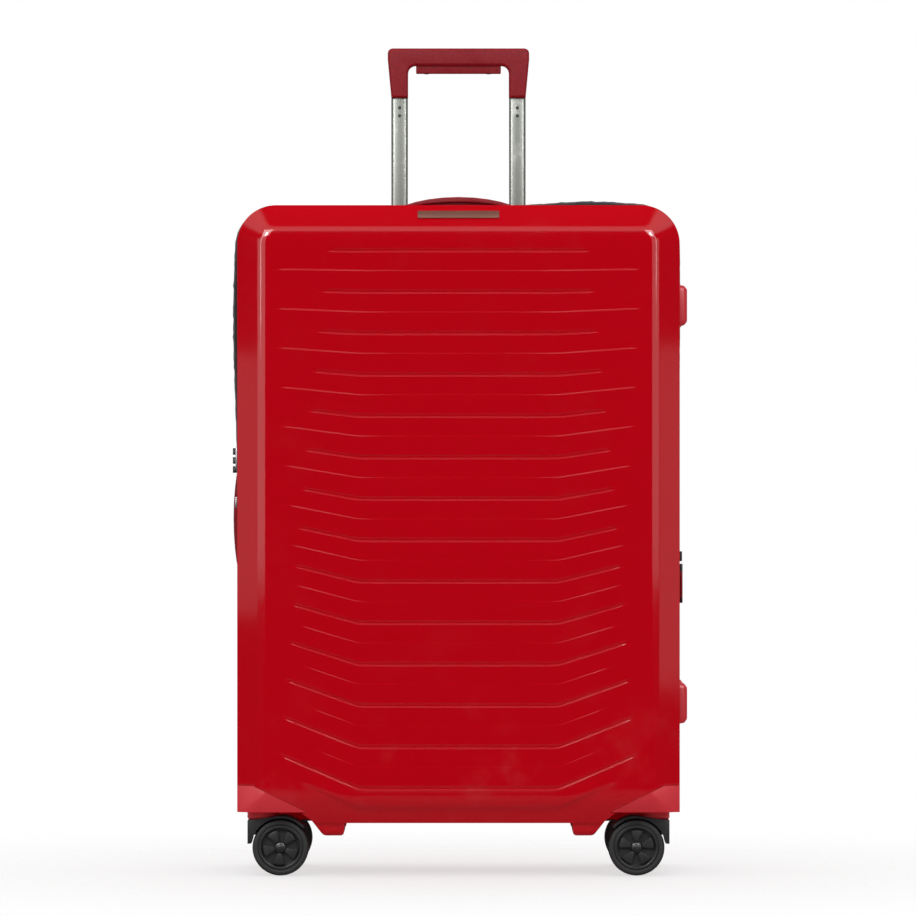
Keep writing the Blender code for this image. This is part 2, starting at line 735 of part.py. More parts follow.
def make_lock():
    """A combination lock on the left side: three dials, a sliding catch and a key barrel."""
    middle = (LOCK_Y[0] + LOCK_Y[1]) / 2
    half_w = (LOCK_Y[1] - LOCK_Y[0]) / 2
    face = LOCK_FACE - HALF_WIDTH
    plan = rounded_rect(LOCK_HALF, half_w, 5 * MM, 4, (0, middle))
    housing = lock_piece("lock_housing", plan, (GAP, face), "black_plastic")
    body = rounded_rect(LOCK_HALF - 3.2 * MM, half_w - 3.2 * MM, 3 * MM, 4, (0, middle))
    join(housing, lock_piece("lock_body", body, (-14 * MM, 2 * MM)))
    dial_middles = [(number - 1) * 9.5 * MM - 3 * MM for number in range(3)]
    dial_v = SIDE_REACH - HALF_WIDTH - DIAL_R
    for number, u in enumerate(dial_middles):
        z = LOCK_Z + u
        centre = (-HALF_WIDTH - dial_v, DIAL_Y)
        span = (z - 3.9 * MM, z + 3.9 * MM)
        cut(housing, drum(f"dial_slot_{number}", DIAL_R + 0.8 * MM, span, 20, centre=centre))
        make_dial(f"lock_dial_{number + 1}", z, -HALF_WIDTH - dial_v)
    track = block_outline(-17 * MM, 11 * MM, 12 * MM, 20 * MM)
    cut(housing, lock_piece("catch_slot", track, (-3 * MM, 12 * MM)))
    catch = block_outline(-12 * MM, 10.6 * MM, 12.6 * MM, 19.4 * MM)
    lock_piece("lock_catch", catch, (-2.6 * MM, 5.6 * MM), "zinc")
    key_u = 25 * MM
    key_w = 24 * MM
    barrel = arc((key_u, key_w), 4.5 * MM, 0, 360, 16)[:-1]
    socket = arc((key_u, key_w), 4.9 * MM, 0, 360, 16)[:-1]
    cut(housing, lock_piece("key_socket", socket, (-3 * MM, 12 * MM)))
    key = lock_piece("lock_key_barrel", barrel, (-2.6 * MM, face - 0.3 * MM), "zinc")
    keyway = rounded_rect(3.2 * MM, 0.7 * MM, 0.5 * MM, 2, (key_u, key_w))
    cut(key, lock_piece("keyway", keyway, (0, 12 * MM)))


def make_dial(name, z, x):
    """A numbered ring with flat grips round its rim."""
    grips = 10
    outline = []
    for i in range(grips):
        turn = 2 * math.pi * i / grips
        for offset, radius in ((-0.22, DIAL_R), (0.22, DIAL_R), (0.31, DIAL_R - 0.5 * MM)):
            angle = turn + offset
            outline.append((radius * math.cos(angle), radius * math.sin(angle)))
    mesh = extruded(name, outline, (-3.5 * MM, 3.5 * MM), along_z)
    add_object(name, mesh, "black_plastic", (x, DIAL_Y, z))


def make_zip_pulls():
    """Two main sliders docked at the lock, and the expansion zip's slider on the right side."""
    for name, z in (("upper", LOCK_Z + LOCK_HALF + 9 * MM), ("lower", LOCK_Z - LOCK_HALF - 9 * MM)):
        x = -HALF_WIDTH - TAPE_PROUD - GAP
        low = (x - 2.6 * MM, 1 * MM, z - 6 * MM)
        slider = box_mesh(f"zip_slider_{name}", low, (x, 5.9 * MM, z + 6 * MM))
        add_object(f"zip_slider_{name}", slider, "zinc")
        outline = rounded_rect(4 * MM, 4 * MM, 2 * MM, 3)
        rows = []
        for y, width in ((8, 3), (9, 4.5), (27, 4.5), (28.5, 3)):
            rows.append([(x - 1.7 * MM + v * 0.32, y * MM, z + u * width / 4) for u, v in outline])
        add_object(f"zip_pull_{name}", lofted(f"zip_pull_{name}", rows), "zinc")
    x = HALF_WIDTH + TAPE_PROUD + GAP
    y = BAND_FRONT - 1.5 * MM
    top = 321 * MM
    low = (x, y - 4 * MM, top + 2.6 * MM)
    slider = box_mesh("expansion_slider", low, (x + 2.6 * MM, y + 4 * MM, top + 13 * MM))
    add_object("expansion_slider", slider, "black_plastic")
    outline = rounded_rect(1.55 * MM, 1 * MM, 0.9 * MM, 2)
    rows = []
    for down, width in ((0, 2), (8, 2.4), (11, 4), (36, 4), (41, 2.5)):
        rows.append([(x + 1.7 * MM + u, y + v * width, top - down * MM) for u, v in outline])
    add_object("expansion_pull", lofted("expansion_pull", rows), "grip_red")


def make_straps():
    """Two elastic straps that cross over the packed clothes' floor, held by a clip in the middle."""
    reach_x = 128 * MM
    reach_z = 200 * MM
    width = 25 * MM
    floor = BACK_FLOOR - LINING - GAP
    for name, sign, y in (("strap_rising", 1, floor), ("strap_falling", -1, floor - 2.2 * MM)):
        along = Vector((sign * reach_x, 0, reach_z))
        across = along.cross(Vector((0, 1, 0))).normalized() * width / 2
        middle = Vector((0, 0, CASE_MIDDLE))
        ends = [middle - along, middle + along]
        rows = []
        for depth in (y - 1.6 * MM, y):
            corners = [ends[0] - across, ends[0] + across, ends[1] + across, ends[1] - across]
            rows.append([(c.x, depth, c.z) for c in corners])
        add_object(name, lofted(name, rows), "black_fabric")
    clip = rounded_rect(24 * MM, 30 * MM, 5 * MM, 4, (0, CASE_MIDDLE))
    top = floor - 3.8 * MM - GAP
    rows = [[(u, depth, v) for u, v in clip] for depth in (top - 4 * MM, top)]
    add_object("strap_clip", lofted("strap_clip", rows), "black_plastic")


def main():
    clear_scene()
    make_shell("front_shell", -1, FRONT_RIM)
    back = make_shell("back_shell", 1, BACK_RIM)
    fitting_holes(back)
    make_lining("front_lining", -1, FRONT_RIM, None)
    make_lining("back_lining", 1, BACK_RIM, BACK_FLOOR)
    make_soft_frame()
    for name, (sx, sy) in CASTERS.items():
        make_guard(f"guard_{name}", sx, sy)
        make_caster(f"caster_{name}", sx, sy)
    for half, y in (("front", -70 * MM), ("back", 70 * MM)):
        make_side_foot(f"side_foot_{half}_upper", y, 590 * MM)
        make_side_foot(f"side_foot_{half}_lower", y, 177 * MM)
    make_name_plate()
    make_trolley()
    make_carry_handles()
    make_lock()
    make_zip_pulls()
    make_straps()


if __name__ == "__main__":
    main()
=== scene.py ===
"""A glossy ribbed hard-shell suitcase on four swivel casters, dressed over its CAD frame.

Metres, +Z up, with the front face towards -Y. The case is built up as its maker would build it:
two moulded halves, a sewn soft frame with its two zips between them, then the fittings.
"""

import math

import bmesh
import bpy
from bpy.props import FloatProperty, FloatVectorProperty, IntProperty, PointerProperty
from mathutils import Matrix, Vector


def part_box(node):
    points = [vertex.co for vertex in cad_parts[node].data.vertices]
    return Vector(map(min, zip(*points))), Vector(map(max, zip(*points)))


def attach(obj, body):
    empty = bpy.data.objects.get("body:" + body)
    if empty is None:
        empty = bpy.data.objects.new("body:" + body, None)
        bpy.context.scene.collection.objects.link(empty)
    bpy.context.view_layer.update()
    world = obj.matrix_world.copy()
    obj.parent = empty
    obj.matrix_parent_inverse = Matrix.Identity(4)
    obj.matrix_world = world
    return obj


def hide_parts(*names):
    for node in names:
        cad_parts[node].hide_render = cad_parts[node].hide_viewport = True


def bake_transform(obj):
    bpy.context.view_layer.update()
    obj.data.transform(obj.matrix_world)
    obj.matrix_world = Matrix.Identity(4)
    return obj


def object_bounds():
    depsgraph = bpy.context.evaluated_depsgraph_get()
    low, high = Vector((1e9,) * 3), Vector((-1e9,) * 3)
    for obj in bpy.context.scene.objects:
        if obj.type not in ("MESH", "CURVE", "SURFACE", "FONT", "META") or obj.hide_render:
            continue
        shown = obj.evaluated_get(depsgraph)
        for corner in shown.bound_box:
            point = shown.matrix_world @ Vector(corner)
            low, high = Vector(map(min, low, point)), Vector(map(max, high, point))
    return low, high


bl_info = {
    "name": "Hard-shell suitcase",
    "version": (1, 0, 0),
    "blender": (4, 5, 0),
    "location": "View3D > Sidebar > Suitcase",
    "description": "Builds a ribbed hard-shell suitcase, its fittings and a plain studio",
    "category": "Object",
}

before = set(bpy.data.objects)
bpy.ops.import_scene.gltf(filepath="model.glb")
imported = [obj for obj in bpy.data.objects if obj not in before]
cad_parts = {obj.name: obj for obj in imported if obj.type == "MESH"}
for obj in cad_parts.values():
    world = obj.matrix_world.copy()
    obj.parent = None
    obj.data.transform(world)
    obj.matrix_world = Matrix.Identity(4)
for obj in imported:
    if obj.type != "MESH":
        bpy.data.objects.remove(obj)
CAD_BOX = [list(corner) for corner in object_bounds()]
MM = 0.001

SHELL_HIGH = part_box("front_shell")[1]
BACK_LOW, BACK_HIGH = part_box("back_shell")
BAND_LOW, BAND_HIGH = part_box("front_band")
HALF_WIDTH = SHELL_HIGH[0]
CASE_TOP = SHELL_HIGH[2]
PROUD = BAND_HIGH[0] - HALF_WIDTH  # how far the sewn tapes stand out
CASE_BOTTOM = BAND_LOW[2] + PROUD
CASE_MIDDLE = (CASE_TOP + CASE_BOTTOM) / 2
FACE_DEPTH = BACK_HIGH[1]
FRONT_RIM = SHELL_HIGH[1]
BACK_RIM = BACK_LOW[1]
UPPER_R = 40 * MM
LOWER_R = 32 * MM
EDGE_IN = 25 * MM  # the bevel round the face: this far in
EDGE_DEPTH = 20 * MM  # and this deep
WALL = 2.5 * MM
WELL_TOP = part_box("guard_front_left")[0][2]
GUARD_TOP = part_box("guard_front_left")[1][2]
GAP = 0.3 * MM
STEP_SHARE = 0.495  # a step lies this share of the pitch below its groove
RISE_TOP = 651 * MM  # the ribs' ends turn up below this height
RISE_SPAN = 559 * MM
LOW_BAND = 68.6 * MM  # the top of the plain band under the ribs
LOCK_LOW, LOCK_HIGH = 389 * MM, 475 * MM  # the soft frame stops here for the lock
LENS, SENSOR = 305.25, 36
CAMERA_AWAY, EYE_HEIGHT = 8.0, 0.4316
CORNERS = {"front_left": (-1, -1), "front_right": (1, -1), "back_left": (-1, 1), "back_right": (1, 1)}
HALVES = {"front": "front_half", "back": "back_half"}


# ---------------------------------------------------------------- settings


def length(name, description, default):
    """A setting measured in metres."""
    return FloatProperty(name=name, description=description, default=default, unit="LENGTH")


def power(name, description, default):
    """A setting for a light's power."""
    return FloatProperty(name=name, description=description, default=default, unit="POWER")


def tint(name, description, default):
    """A setting for a linear colour."""
    return FloatVectorProperty(name=name, description=description, subtype="COLOR", default=default)


class ShellSettings(bpy.types.PropertyGroup):
    """Sizes and colours of the two moulded halves."""

    pitch: length("Rib pitch", "Distance between two ribs", 42.65 * MM)
    first: length("First rib", "Height of the top groove", 645.8 * MM)
    grooves: IntProperty(name="Grooves", description="Number of grooves on a face", default=14, min=1)
    groove_width: length("Groove width", "Width of a groove", 4.2 * MM)
    groove_depth: length("Groove depth", "Depth of a groove", 0.95 * MM)
    step_height: length("Step", "How far a step stands out", 0.78 * MM)
    bend: length("Bend", "Half width at which the ribs turn up", 103 * MM)
    rise: FloatProperty(name="Rise", description="Slope of the lowest rib's ends", default=0.43)
    colour: tint("Shell red", "Colour of the gloss shells", (0.56, 0.0006, 0.0075))
    satin: tint("Satin red", "Colour of guards and feet", (0.70, 0.014, 0.028))


class SoftSettings(bpy.types.PropertyGroup):
    """Sizes and colours of the sewn parts."""

    bulge: length("Bulge", "How far the band swells", 6.4 * MM)
    tooth_pitch: length("Tooth pitch", "Distance between zip teeth", 2.2 * MM)
    stitch_pitch: length("Stitch", "Distance between stitches", 4.2 * MM)
    fabric: tint("Fabric", "Colour of the band and tapes", (0.0085, 0.0085, 0.0095))
    lining: tint("Lining", "Colour of the liners", (0.060, 0.060, 0.066))


class RollingSettings(bpy.types.PropertyGroup):
    """Sizes and colours of the casters."""

    spokes: IntProperty(name="Spokes", description="Spokes on a wheel", default=5, min=3)
    tyre: tint("Tyre", "Colour of the tyres", (0.0120, 0.0118, 0.0120))


class HandleSettings(bpy.types.PropertyGroup):
    """Sizes and colours of the trolley and carry handles."""

    grip: tint("Grip", "Colour of the grips", (0.300, 0.0070, 0.0160))
    tube: tint("Tube", "Colour of the anodised tubes", (0.300, 0.322, 0.285))
    rivet: length("Rivet", "Radius of a tube's rivets", 1.5 * MM)


class StudioSettings(bpy.types.PropertyGroup):
    """Light and floor."""

    ridge: power("Edge lights", "Power of the lights along the edges", 1.0)
    flank: power("Flank lights", "Power of the lights at the sides", 0.7)
    soft: power("Soft boxes", "Power of the two soft boxes", 25.0)
    top: power("Top light", "Power of the overhead light", 20.0)
    ambient: FloatProperty(name="Ambient", description="Brightness of the room", default=0.56)
    mirrored: FloatProperty(
        name="Mirrored room", description="Brightness of the room in the gloss", default=0.03
    )
    floor: tint("Floor", "Colour of the floor", (0.86, 0.86, 0.86))


# ---------------------------------------------------------------- node sums


class Flow:
    """A socket that takes part in sums, in a material's tree or a geometry tree."""

    def __init__(self, graph, socket):
        self.graph = graph
        self.socket = socket

    def of(self, name):
        return Flow(self.graph, self.socket.node.outputs[name])

    def __add__(self, other):
        return self.graph.math("ADD", self, other)

    def __radd__(self, other):
        return self.graph.math("ADD", other, self)

    def __sub__(self, other):
        return self.graph.math("SUBTRACT", self, other)

    def __rsub__(self, other):
        return self.graph.math("SUBTRACT", other, self)

    def __mul__(self, other):
        return self.graph.math("MULTIPLY", self, other)

    def __rmul__(self, other):
        return self.graph.math("MULTIPLY", other, self)

    def __truediv__(self, other):
        return self.graph.math("DIVIDE", self, other)

    def __rtruediv__(self, other):
        return self.graph.math("DIVIDE", other, self)

    def __pow__(self, other):
        return self.graph.math("POWER", self, other)

    def __neg__(self):
        return self.graph.math("MULTIPLY", self, -1.0)

    def __abs__(self):
        return self.graph.math("ABSOLUTE", self)


class Graph:
    """Adds nodes to one tree."""

    def __init__(self, tree):
        self.tree = tree

    def feed(self, socket, value):
        if isinstance(value, Flow):
            self.tree.links.new(value.socket, socket)
        elif isinstance(value, bpy.types.NodeSocket):
            self.tree.links.new(value, socket)
        else:
            socket.default_value = value

    def node(self, kind, settings=None, inputs=None):
        made = self.tree.nodes.new(kind)
        for name, value in (settings or {}).items():
            setattr(made, name, value)
        for name, value in (inputs or {}).items():
            self.feed(made.inputs[name], value)
        return Flow(self, made.outputs[0]) if made.outputs else made

    def math(self, operation, *values, clamp=False):
        settings = {"operation": operation, "use_clamp": clamp}
        return self.node("ShaderNodeMath", settings, dict(enumerate(values)))

    def vector(self, operation, *values):
        return self.node("ShaderNodeVectorMath", {"operation": operation}, dict(enumerate(values)))

    def split(self, vector):
        made = self.node("ShaderNodeSeparateXYZ", None, {0: vector})
        return made.of("X"), made.of("Y"), made.of("Z")

    def joined(self, x, y, z):
        return self.node("ShaderNodeCombineXYZ", None, {0: x, 1: y, 2: z})

    def ramp(self, value, low, high, start=0.0, end=1.0):
        """A smooth step from start to end as value goes from low to high."""
        settings = {"interpolation_type": "SMOOTHSTEP"}
        return self.node("ShaderNodeMapRange", settings, {0: value, 1: low, 2: high, 3: start, 4: end})

    def noise(self, place, scale, detail=2.0, roughness=0.5):
        inputs = {"Vector": place, "Scale": scale, "Detail": detail, "Roughness": roughness}
        return self.node("ShaderNodeTexNoise", None, inputs)

    def mixed(self, share, first, second, kind="MIX"):
        """Two colours mixed by share."""
        made = self.tree.nodes.new("ShaderNodeMix")
        made.data_type = "RGBA"
        made.blend_type = kind
        for number, value in ((0, share), (6, first), (7, second)):
            self.feed(made.inputs[number], value)
        return Flow(self, made.outputs[2])


class Finish(Graph):
    """A material with one Principled shader, its constants set on the shader itself."""

    def __init__(self, name, **constants):
        self.material = bpy.data.materials.new(name)
        self.material.use_nodes = True
        super().__init__(self.material.node_tree)
        self.shader = self.tree.nodes["Principled BSDF"]
        for words, value in constants.items():
            self.shader.inputs[words.replace("_", " ")].default_value = value
        self.place = self.node("ShaderNodeTexCoord").of("Object")

    def uv(self):
        return self.node("ShaderNodeTexCoord").of("UV")

    def paint(self, colour=None, roughness=None, height=None, distance=1 * MM, strength=1.0):
        if colour is not None:
            self.feed(self.shader.inputs["Base Color"], colour)
        if roughness is not None:
            self.feed(self.shader.inputs["Roughness"], roughness)
        if height is not None:
            inputs = {"Height": height, "Distance": distance, "Strength": strength}
            self.feed(self.shader.inputs["Normal"], self.node("ShaderNodeBump", None, inputs))
        return self.material

    def stretched(self, x, y, z):
        return self.vector("MULTIPLY", self.place, (x, y, z))


def rgba(colour, share=1.0):
    return (*(min(c * share, 1.0) for c in colour), 1.0)


def gloss_red(settings):
    """Moulded gloss sheet: faint flow, an orange-peel skin, rubbed spots and a few hairline scratches."""
    made = Finish(
        "shell_red_gloss", Specular_IOR_Level=0.40, IOR=1.49, Coat_Roughness=0.05, Coat_IOR=1.45
    )
    flow = made.noise(made.place, 5.0, 3.0)
    height = made.split(made.place)[2]
    rubbed = made.ramp(made.noise(made.place, 17.0, 5.0, 0.62), 0.52, 0.74)
    low = made.ramp(height, 0.22, 0.06)
    hair = made.ramp(made.noise(made.stretched(30.0, 30.0, 520.0), 1.0, 2.0, 0.5), 0.70, 0.74)
    peel = made.noise(made.place, 150.0, 2.0) * 0.7 + made.noise(made.place, 620.0, 1.0) * 0.3
    colour = made.mixed(flow * 0.5, rgba(settings.colour, 0.97), rgba(settings.colour, 1.05))
    colour = made.mixed(rubbed * low * 0.12, colour, rgba((0.62, 0.05, 0.06)))
    rough = 0.075 + rubbed * 0.06 + low * rubbed * 0.12 + hair * 0.10
    made.feed(made.shader.inputs["Coat Weight"], 0.10 + flow * 0.10)
    return made.paint(colour, rough, peel, 0.010 * MM, 0.5)


def satin_red(settings):
    """Finely blasted satin moulding, rubbed brighter where it stands proud."""
    made = Finish("satin_red_moulding", Specular_IOR_Level=0.45)
    grain = made.noise(made.place, 900.0, 2.0)
    flow = made.noise(made.place, 22.0, 4.0)
    rubbed = made.ramp(flow, 0.50, 0.72)
    colour = made.mixed(flow, rgba(settings.satin, 0.90), rgba(settings.satin, 1.12))
    return made.paint(colour, 0.36 + rubbed * 0.12 + grain * 0.06, grain, 0.05 * MM, 0.6)


def grip_red(settings):
    """Soft-touch grip: pebbled skin with painted shade in its pores, polished by hands in patches."""
    made = Finish("grip_red_soft_touch", Specular_IOR_Level=0.14)
    cells = made.node("ShaderNodeTexVoronoi", {"feature": "F1"}, {"Vector": made.place, "Scale": 620.0})
    pebble = 1.0 - cells
    worn = made.ramp(made.noise(made.place, 26.0, 4.0), 0.46, 0.70)
    # Painted shade: the colour darkens towards the pebble's cell edges, the hollows of its bump.
    colour = made.mixed(made.ramp(cells, 0.3, 0.8), rgba(settings.grip, 1.06), rgba(settings.grip, 0.78))
    return made.paint(colour, 0.46 - worn * 0.10 + cells * 0.04, pebble, 0.03 * MM, 0.4)


def coral_satin():
    """Brushed satin plate."""
    made = Finish("coral_brushed", Metallic=0.35)
    brushed = made.noise(made.stretched(40.0, 1500.0, 1500.0), 1.0, 3.0)
    cloud = made.noise(made.place, 60.0, 2.0)
    colour = made.mixed(brushed, rgba((0.15, 0.050, 0.034)), rgba((0.23, 0.086, 0.060)))
    return made.paint(colour, 0.30 + brushed * 0.16 + cloud * 0.05, brushed, 0.03 * MM, 0.5)


def black_moulding(name="black_moulding", tone=0.0115, rough=0.42):
    """Textured black plastic: spark-eroded grain with greyed high spots."""
    made = Finish(name, Specular_IOR_Level=0.45)
    cells = made.node("ShaderNodeTexVoronoi", {"feature": "F1"}, {"Vector": made.place, "Scale": 1100.0})
    flow = made.noise(made.place, 35.0, 5.0, 0.6)
    dust = made.ramp(flow, 0.55, 0.78)
    fresh, greyed = (tone, tone, tone * 1.06), (tone * 2.3, tone * 2.25, tone * 2.2)
    colour = made.mixed(dust * 0.5, rgba(fresh), rgba(greyed))
    return made.paint(colour, rough + flow * 0.14 + dust * 0.08, 1.0 - cells, 0.06 * MM, 0.5)


def woven(name, colour, pitch, sheen=0.25, bump=0.16, twill=0.0):
    """A woven cloth read along and across its own strip, in metres, with painted light on its raised
    threads and painted shade between them.
    """
    made = Finish(name, Specular_IOR_Level=0.25, Sheen_Weight=sheen, Sheen_Roughness=0.45)
    across, along, _ = made.split(made.uv())
    turn = math.tau / pitch
    warp = made.math("SINE", across * turn + along * (turn * twill))
    weft = made.math("SINE", along * turn)
    over = made.ramp(warp * weft, -0.35, 0.35)
    cloth = abs(warp) * over + abs(weft) * (1.0 - over)
    fibre = made.noise(made.place, 1600.0, 2.0)
    cloud = made.noise(made.place, 14.0, 4.0)
    # Painted light and shade: the colour follows the weave's height, lighter on the raised threads and
    # darker in the gaps between them.
    shade = made.mixed(cloth * 0.8, rgba(colour, 0.55), rgba(colour, 1.55))
    shade = made.mixed(made.ramp(cloud, 0.45, 0.75) * 0.35, shade, rgba(colour, 2.3))
    height = cloth * 0.75 + fibre * 0.25
    return made.paint(shade, 0.80 + fibre * 0.15 - cloth * 0.05, height, bump * MM, 0.8)


def liner_cloth(settings):
    """Printed jacquard liner: fine weave with a sewn diamond quilting."""
    made = Finish("lining_jacquard", Specular_IOR_Level=0.3, Sheen_Weight=0.35, Sheen_Roughness=0.4)
    x, y, z = made.split(made.place)
    one = abs(made.math("PINGPONG", x + z, 22 * MM) / (22 * MM) - 0.5) * 2.0
    two = abs(made.math("PINGPONG", x - z, 22 * MM) / (22 * MM) - 0.5) * 2.0
    seam = made.math("MAXIMUM", one, two)
    puff = 1.0 - made.ramp(seam, 0.55, 1.0)
    thread = made.ramp(seam, 0.955, 0.985)
    weave = made.math("SINE", x * 7000.0) * made.math("SINE", z * 7000.0 + y * 5200.0)
    cloud = made.noise(made.place, 9.0, 3.0)
    colour = made.mixed(weave * 0.3 + 0.5, rgba(settings.lining, 0.82), rgba(settings.lining, 1.2))
    colour = made.mixed(thread * 0.7, colour, rgba((0.11, 0.11, 0.12)))
    colour = made.mixed(cloud * 0.3, colour, rgba(settings.lining, 0.7))
    return made.paint(colour, 0.72 + weave * 0.05, puff + weave * 0.04, 1.1 * MM, 0.7)


def anodised(settings):
    """Drawn and anodised tube: long draw lines, soft bands and a slight warm-cool drift."""
    made = Finish("tube_anodised", Metallic=0.40, Anisotropic=0.35)
    lines = made.noise(made.stretched(2600.0, 2600.0, 6.0), 1.0, 3.0, 0.6)
    bands = made.noise(made.stretched(260.0, 260.0, 1.5), 1.0, 2.0)
    rub = made.ramp(made.noise(made.place, 48.0, 4.0, 0.6), 0.58, 0.76)
    colour = made.mixed(lines * 0.6 + bands * 0.4, rgba(settings.tube, 0.44), rgba(settings.tube, 0.66))
    colour = made.mixed(rub * 0.25, colour, rgba((0.55, 0.55, 0.52)))
    return made.paint(colour, 0.27 + lines * 0.14 + rub * 0.08, lines, 0.005 * MM, 0.4)


def tyre_rubber(settings):
    """Hard rubber tread with fine scuffs and a little dust."""
    made = Finish("tyre_rubber", Specular_IOR_Level=0.35)
    scuff = made.noise(made.place, 210.0, 4.0, 0.7)
    dust = made.ramp(made.noise(made.place, 40.0, 4.0), 0.50, 0.78)
    grey = (0.045, 0.043, 0.040)
    colour = made.mixed(dust * 0.35 + made.ramp(scuff, 0.6, 0.8) * 0.2, rgba(settings.tyre), rgba(grey))
    return made.paint(colour, 0.58 + scuff * 0.22, scuff, 0.08 * MM, 0.5)


def zinc_cast():
    """Plated casting, polished, with fine wiping marks and a cloudy tarnish."""
    made = Finish("zinc_plated", Metallic=1.0)
    wiped = made.noise(made.stretched(300.0, 2200.0, 300.0), 1.0, 3.0)
    cloud = made.ramp(made.noise(made.place, 70.0, 4.0), 0.42, 0.72)
    colour = made.mixed(cloud, rgba((0.62, 0.62, 0.64)), rgba((0.40, 0.40, 0.41)))
    return made.paint(colour, 0.20 + wiped * 0.12 + cloud * 0.10, wiped, 0.02 * MM, 0.5)


def nylon_teeth():
    """Moulded nylon zip teeth, slightly waxy."""
    made = Finish("zip_nylon", Specular_IOR_Level=0.5)
    tone = made.noise(made.place, 330.0, 2.0)
    fine = made.noise(made.place, 2400.0, 1.0)
    colour = made.mixed(tone, rgba((0.013, 0.013, 0.014)), rgba((0.030, 0.030, 0.032)))
    return made.paint(colour, 0.32 + tone * 0.14, fine, 0.04 * MM, 0.4)


def sewing_thread(name, colour):
    """Twisted bonded thread."""
    made = Finish(name, Sheen_Weight=0.3)
    ply = made.noise(made.place, 2600.0, 2.0)
    cloud = made.noise(made.place, 90.0, 2.0)
    shade = made.mixed(ply, rgba(colour, 0.6), rgba(colour, 1.5))
    return made.paint(shade, 0.62 + cloud * 0.15, ply, 0.05 * MM, 0.6)


def number_ink():
    """Pad-printed numbers, thin in places."""
    made = Finish("dial_ink")
    wear = made.ramp(made.noise(made.place, 900.0, 3.0), 0.30, 0.55)
    colour = made.mixed(wear, rgba((0.34, 0.34, 0.33)), rgba((0.78, 0.78, 0.75)))
    return made.paint(colour, 0.50 + wear * 0.1, wear, 0.01 * MM, 0.4)


def studio_floor(settings):
    """A matt pale floor that melts into the background a step away from the case."""
    made = Finish("studio_floor", Specular_IOR_Level=0.1)
    x, y, _ = made.split(made.place)
    away = (x * x + y * y) ** 0.5
    cloud = made.noise(made.place, 3.0, 2.0)
    made.feed(made.shader.inputs["Alpha"], made.ramp(away, 0.30, 1.00, 0.34, 0.0))
    colour = made.mixed(cloud * 0.2, rgba(settings.floor), rgba(settings.floor, 0.985))
    return made.paint(colour, 0.9 + cloud * 0.05)


# ---------------------------------------------------------------- mesh helpers


def mesh_of(name, bm, materials=(), smooth=True, sharp=32.0):
    """A mesh from bm, normals outwards, with its hard edges marked."""
    bmesh.ops.recalc_face_normals(bm, faces=bm.faces)
    mesh = bpy.data.meshes.new(name)
    bm.to_mesh(mesh)
    bm.free()
    return dressed_up(mesh, materials, smooth, sharp)


def dressed_up(mesh, materials=(), smooth=True, sharp=32.0):
    if materials:
        mesh.materials.clear()
        for item in materials:
            mesh.materials.append(item)
    if smooth:
        mesh.shade_smooth()
        mesh.set_sharp_from_angle(angle=math.radians(sharp))
    return mesh


def put(name, mesh):
    obj = bpy.data.objects.new(name, mesh)
    bpy.context.scene.collection.objects.link(obj)
    return obj


def drop(*objs):
    for obj in objs:
        data = obj.data
        bpy.data.objects.remove(obj, do_unlink=True)
        if isinstance(data, bpy.types.Mesh) and not data.users:
            bpy.data.meshes.remove(data)


def settled(obj):
    """Turns the object's modifiers into its plain mesh."""
    graph = bpy.context.evaluated_depsgraph_get()
    solid = obj.evaluated_get(graph)
    mesh = bpy.data.meshes.new_from_object(solid, preserve_all_data_layers=True, depsgraph=graph)
    obj.modifiers.clear()
    old = obj.data
    obj.data = mesh
    if not old.users and isinstance(old, bpy.types.Mesh):
        bpy.data.meshes.remove(old)
    return obj


def loft(rows, ring=False, caps=True, closed=True, uv=False):
    """A bmesh skin over rows of points.

    ring joins the last row to the first, and closed joins each row's ends.
    """
    bm = bmesh.new()
    grid = [[bm.verts.new(point) for point in row] for row in rows]
    layer = bm.loops.layers.uv.new("UVMap") if uv else None
    count = len(rows[0])
    last_row = len(rows) if ring else len(rows) - 1
    last_col = count if closed else count - 1
    across = [0.0]
    for i in range(last_col):
        across.append(across[-1] + (Vector(rows[0][(i + 1) % count]) - Vector(rows[0][i])).length)
    along = 0.0
    for r in range(last_row):
        low, high = grid[r], grid[(r + 1) % len(rows)]
        step = (Vector(rows[(r + 1) % len(rows)][0]) - Vector(rows[r][0])).length
        for i in range(last_col):
            j = (i + 1) % count
            face = bm.faces.new((low[i], low[j], high[j], high[i]))
            if uv:
                spots = ((i, along), (i + 1, along), (i + 1, along + step), (i, along + step))
                for corner, (k, v) in zip(face.loops, spots):
                    corner[layer].uv = (across[k], v)
        along += step
    if caps and not ring:
        bm.faces.new(grid[0])
        bm.faces.new(grid[-1])
    return bm


def arc(centre, radius, start, end, steps):
    points = []
    for i in range(steps + 1):
        angle = math.radians(start + (end - start) * i / steps)
        points.append((centre[0] + radius * math.cos(angle), centre[1] + radius * math.sin(angle)))
    return points


def round_box(half_u, half_v, radius, steps=6, centre=(0.0, 0.0), low_radius=None):
    """The outline of a rectangle with round corners, lower ones of low_radius."""
    points = []
    for number, (su, sv) in enumerate(((1, 1), (-1, 1), (-1, -1), (1, -1))):
        size = radius if sv > 0 or low_radius is None else low_radius
        middle = (centre[0] + su * (half_u - size), centre[1] + sv * (half_v - size))
        points += arc(middle, size, 90 * number, 90 * number + 90, steps)
    return points


def block(name, low, high):
    xs, ys, zs = zip(low, high)
    rows = [[(xs[i], ys[j], z) for i, j in ((0, 0), (1, 0), (1, 1), (0, 1))] for z in zs]
    return put(name, mesh_of(name, loft(rows), smooth=False))


def prism(name, outline, span):
    """An (x, z) outline carried along Y."""
    rows = [[(x, y, z) for x, z in outline] for y in span]
    return put(name, mesh_of(name, loft(rows), smooth=False))


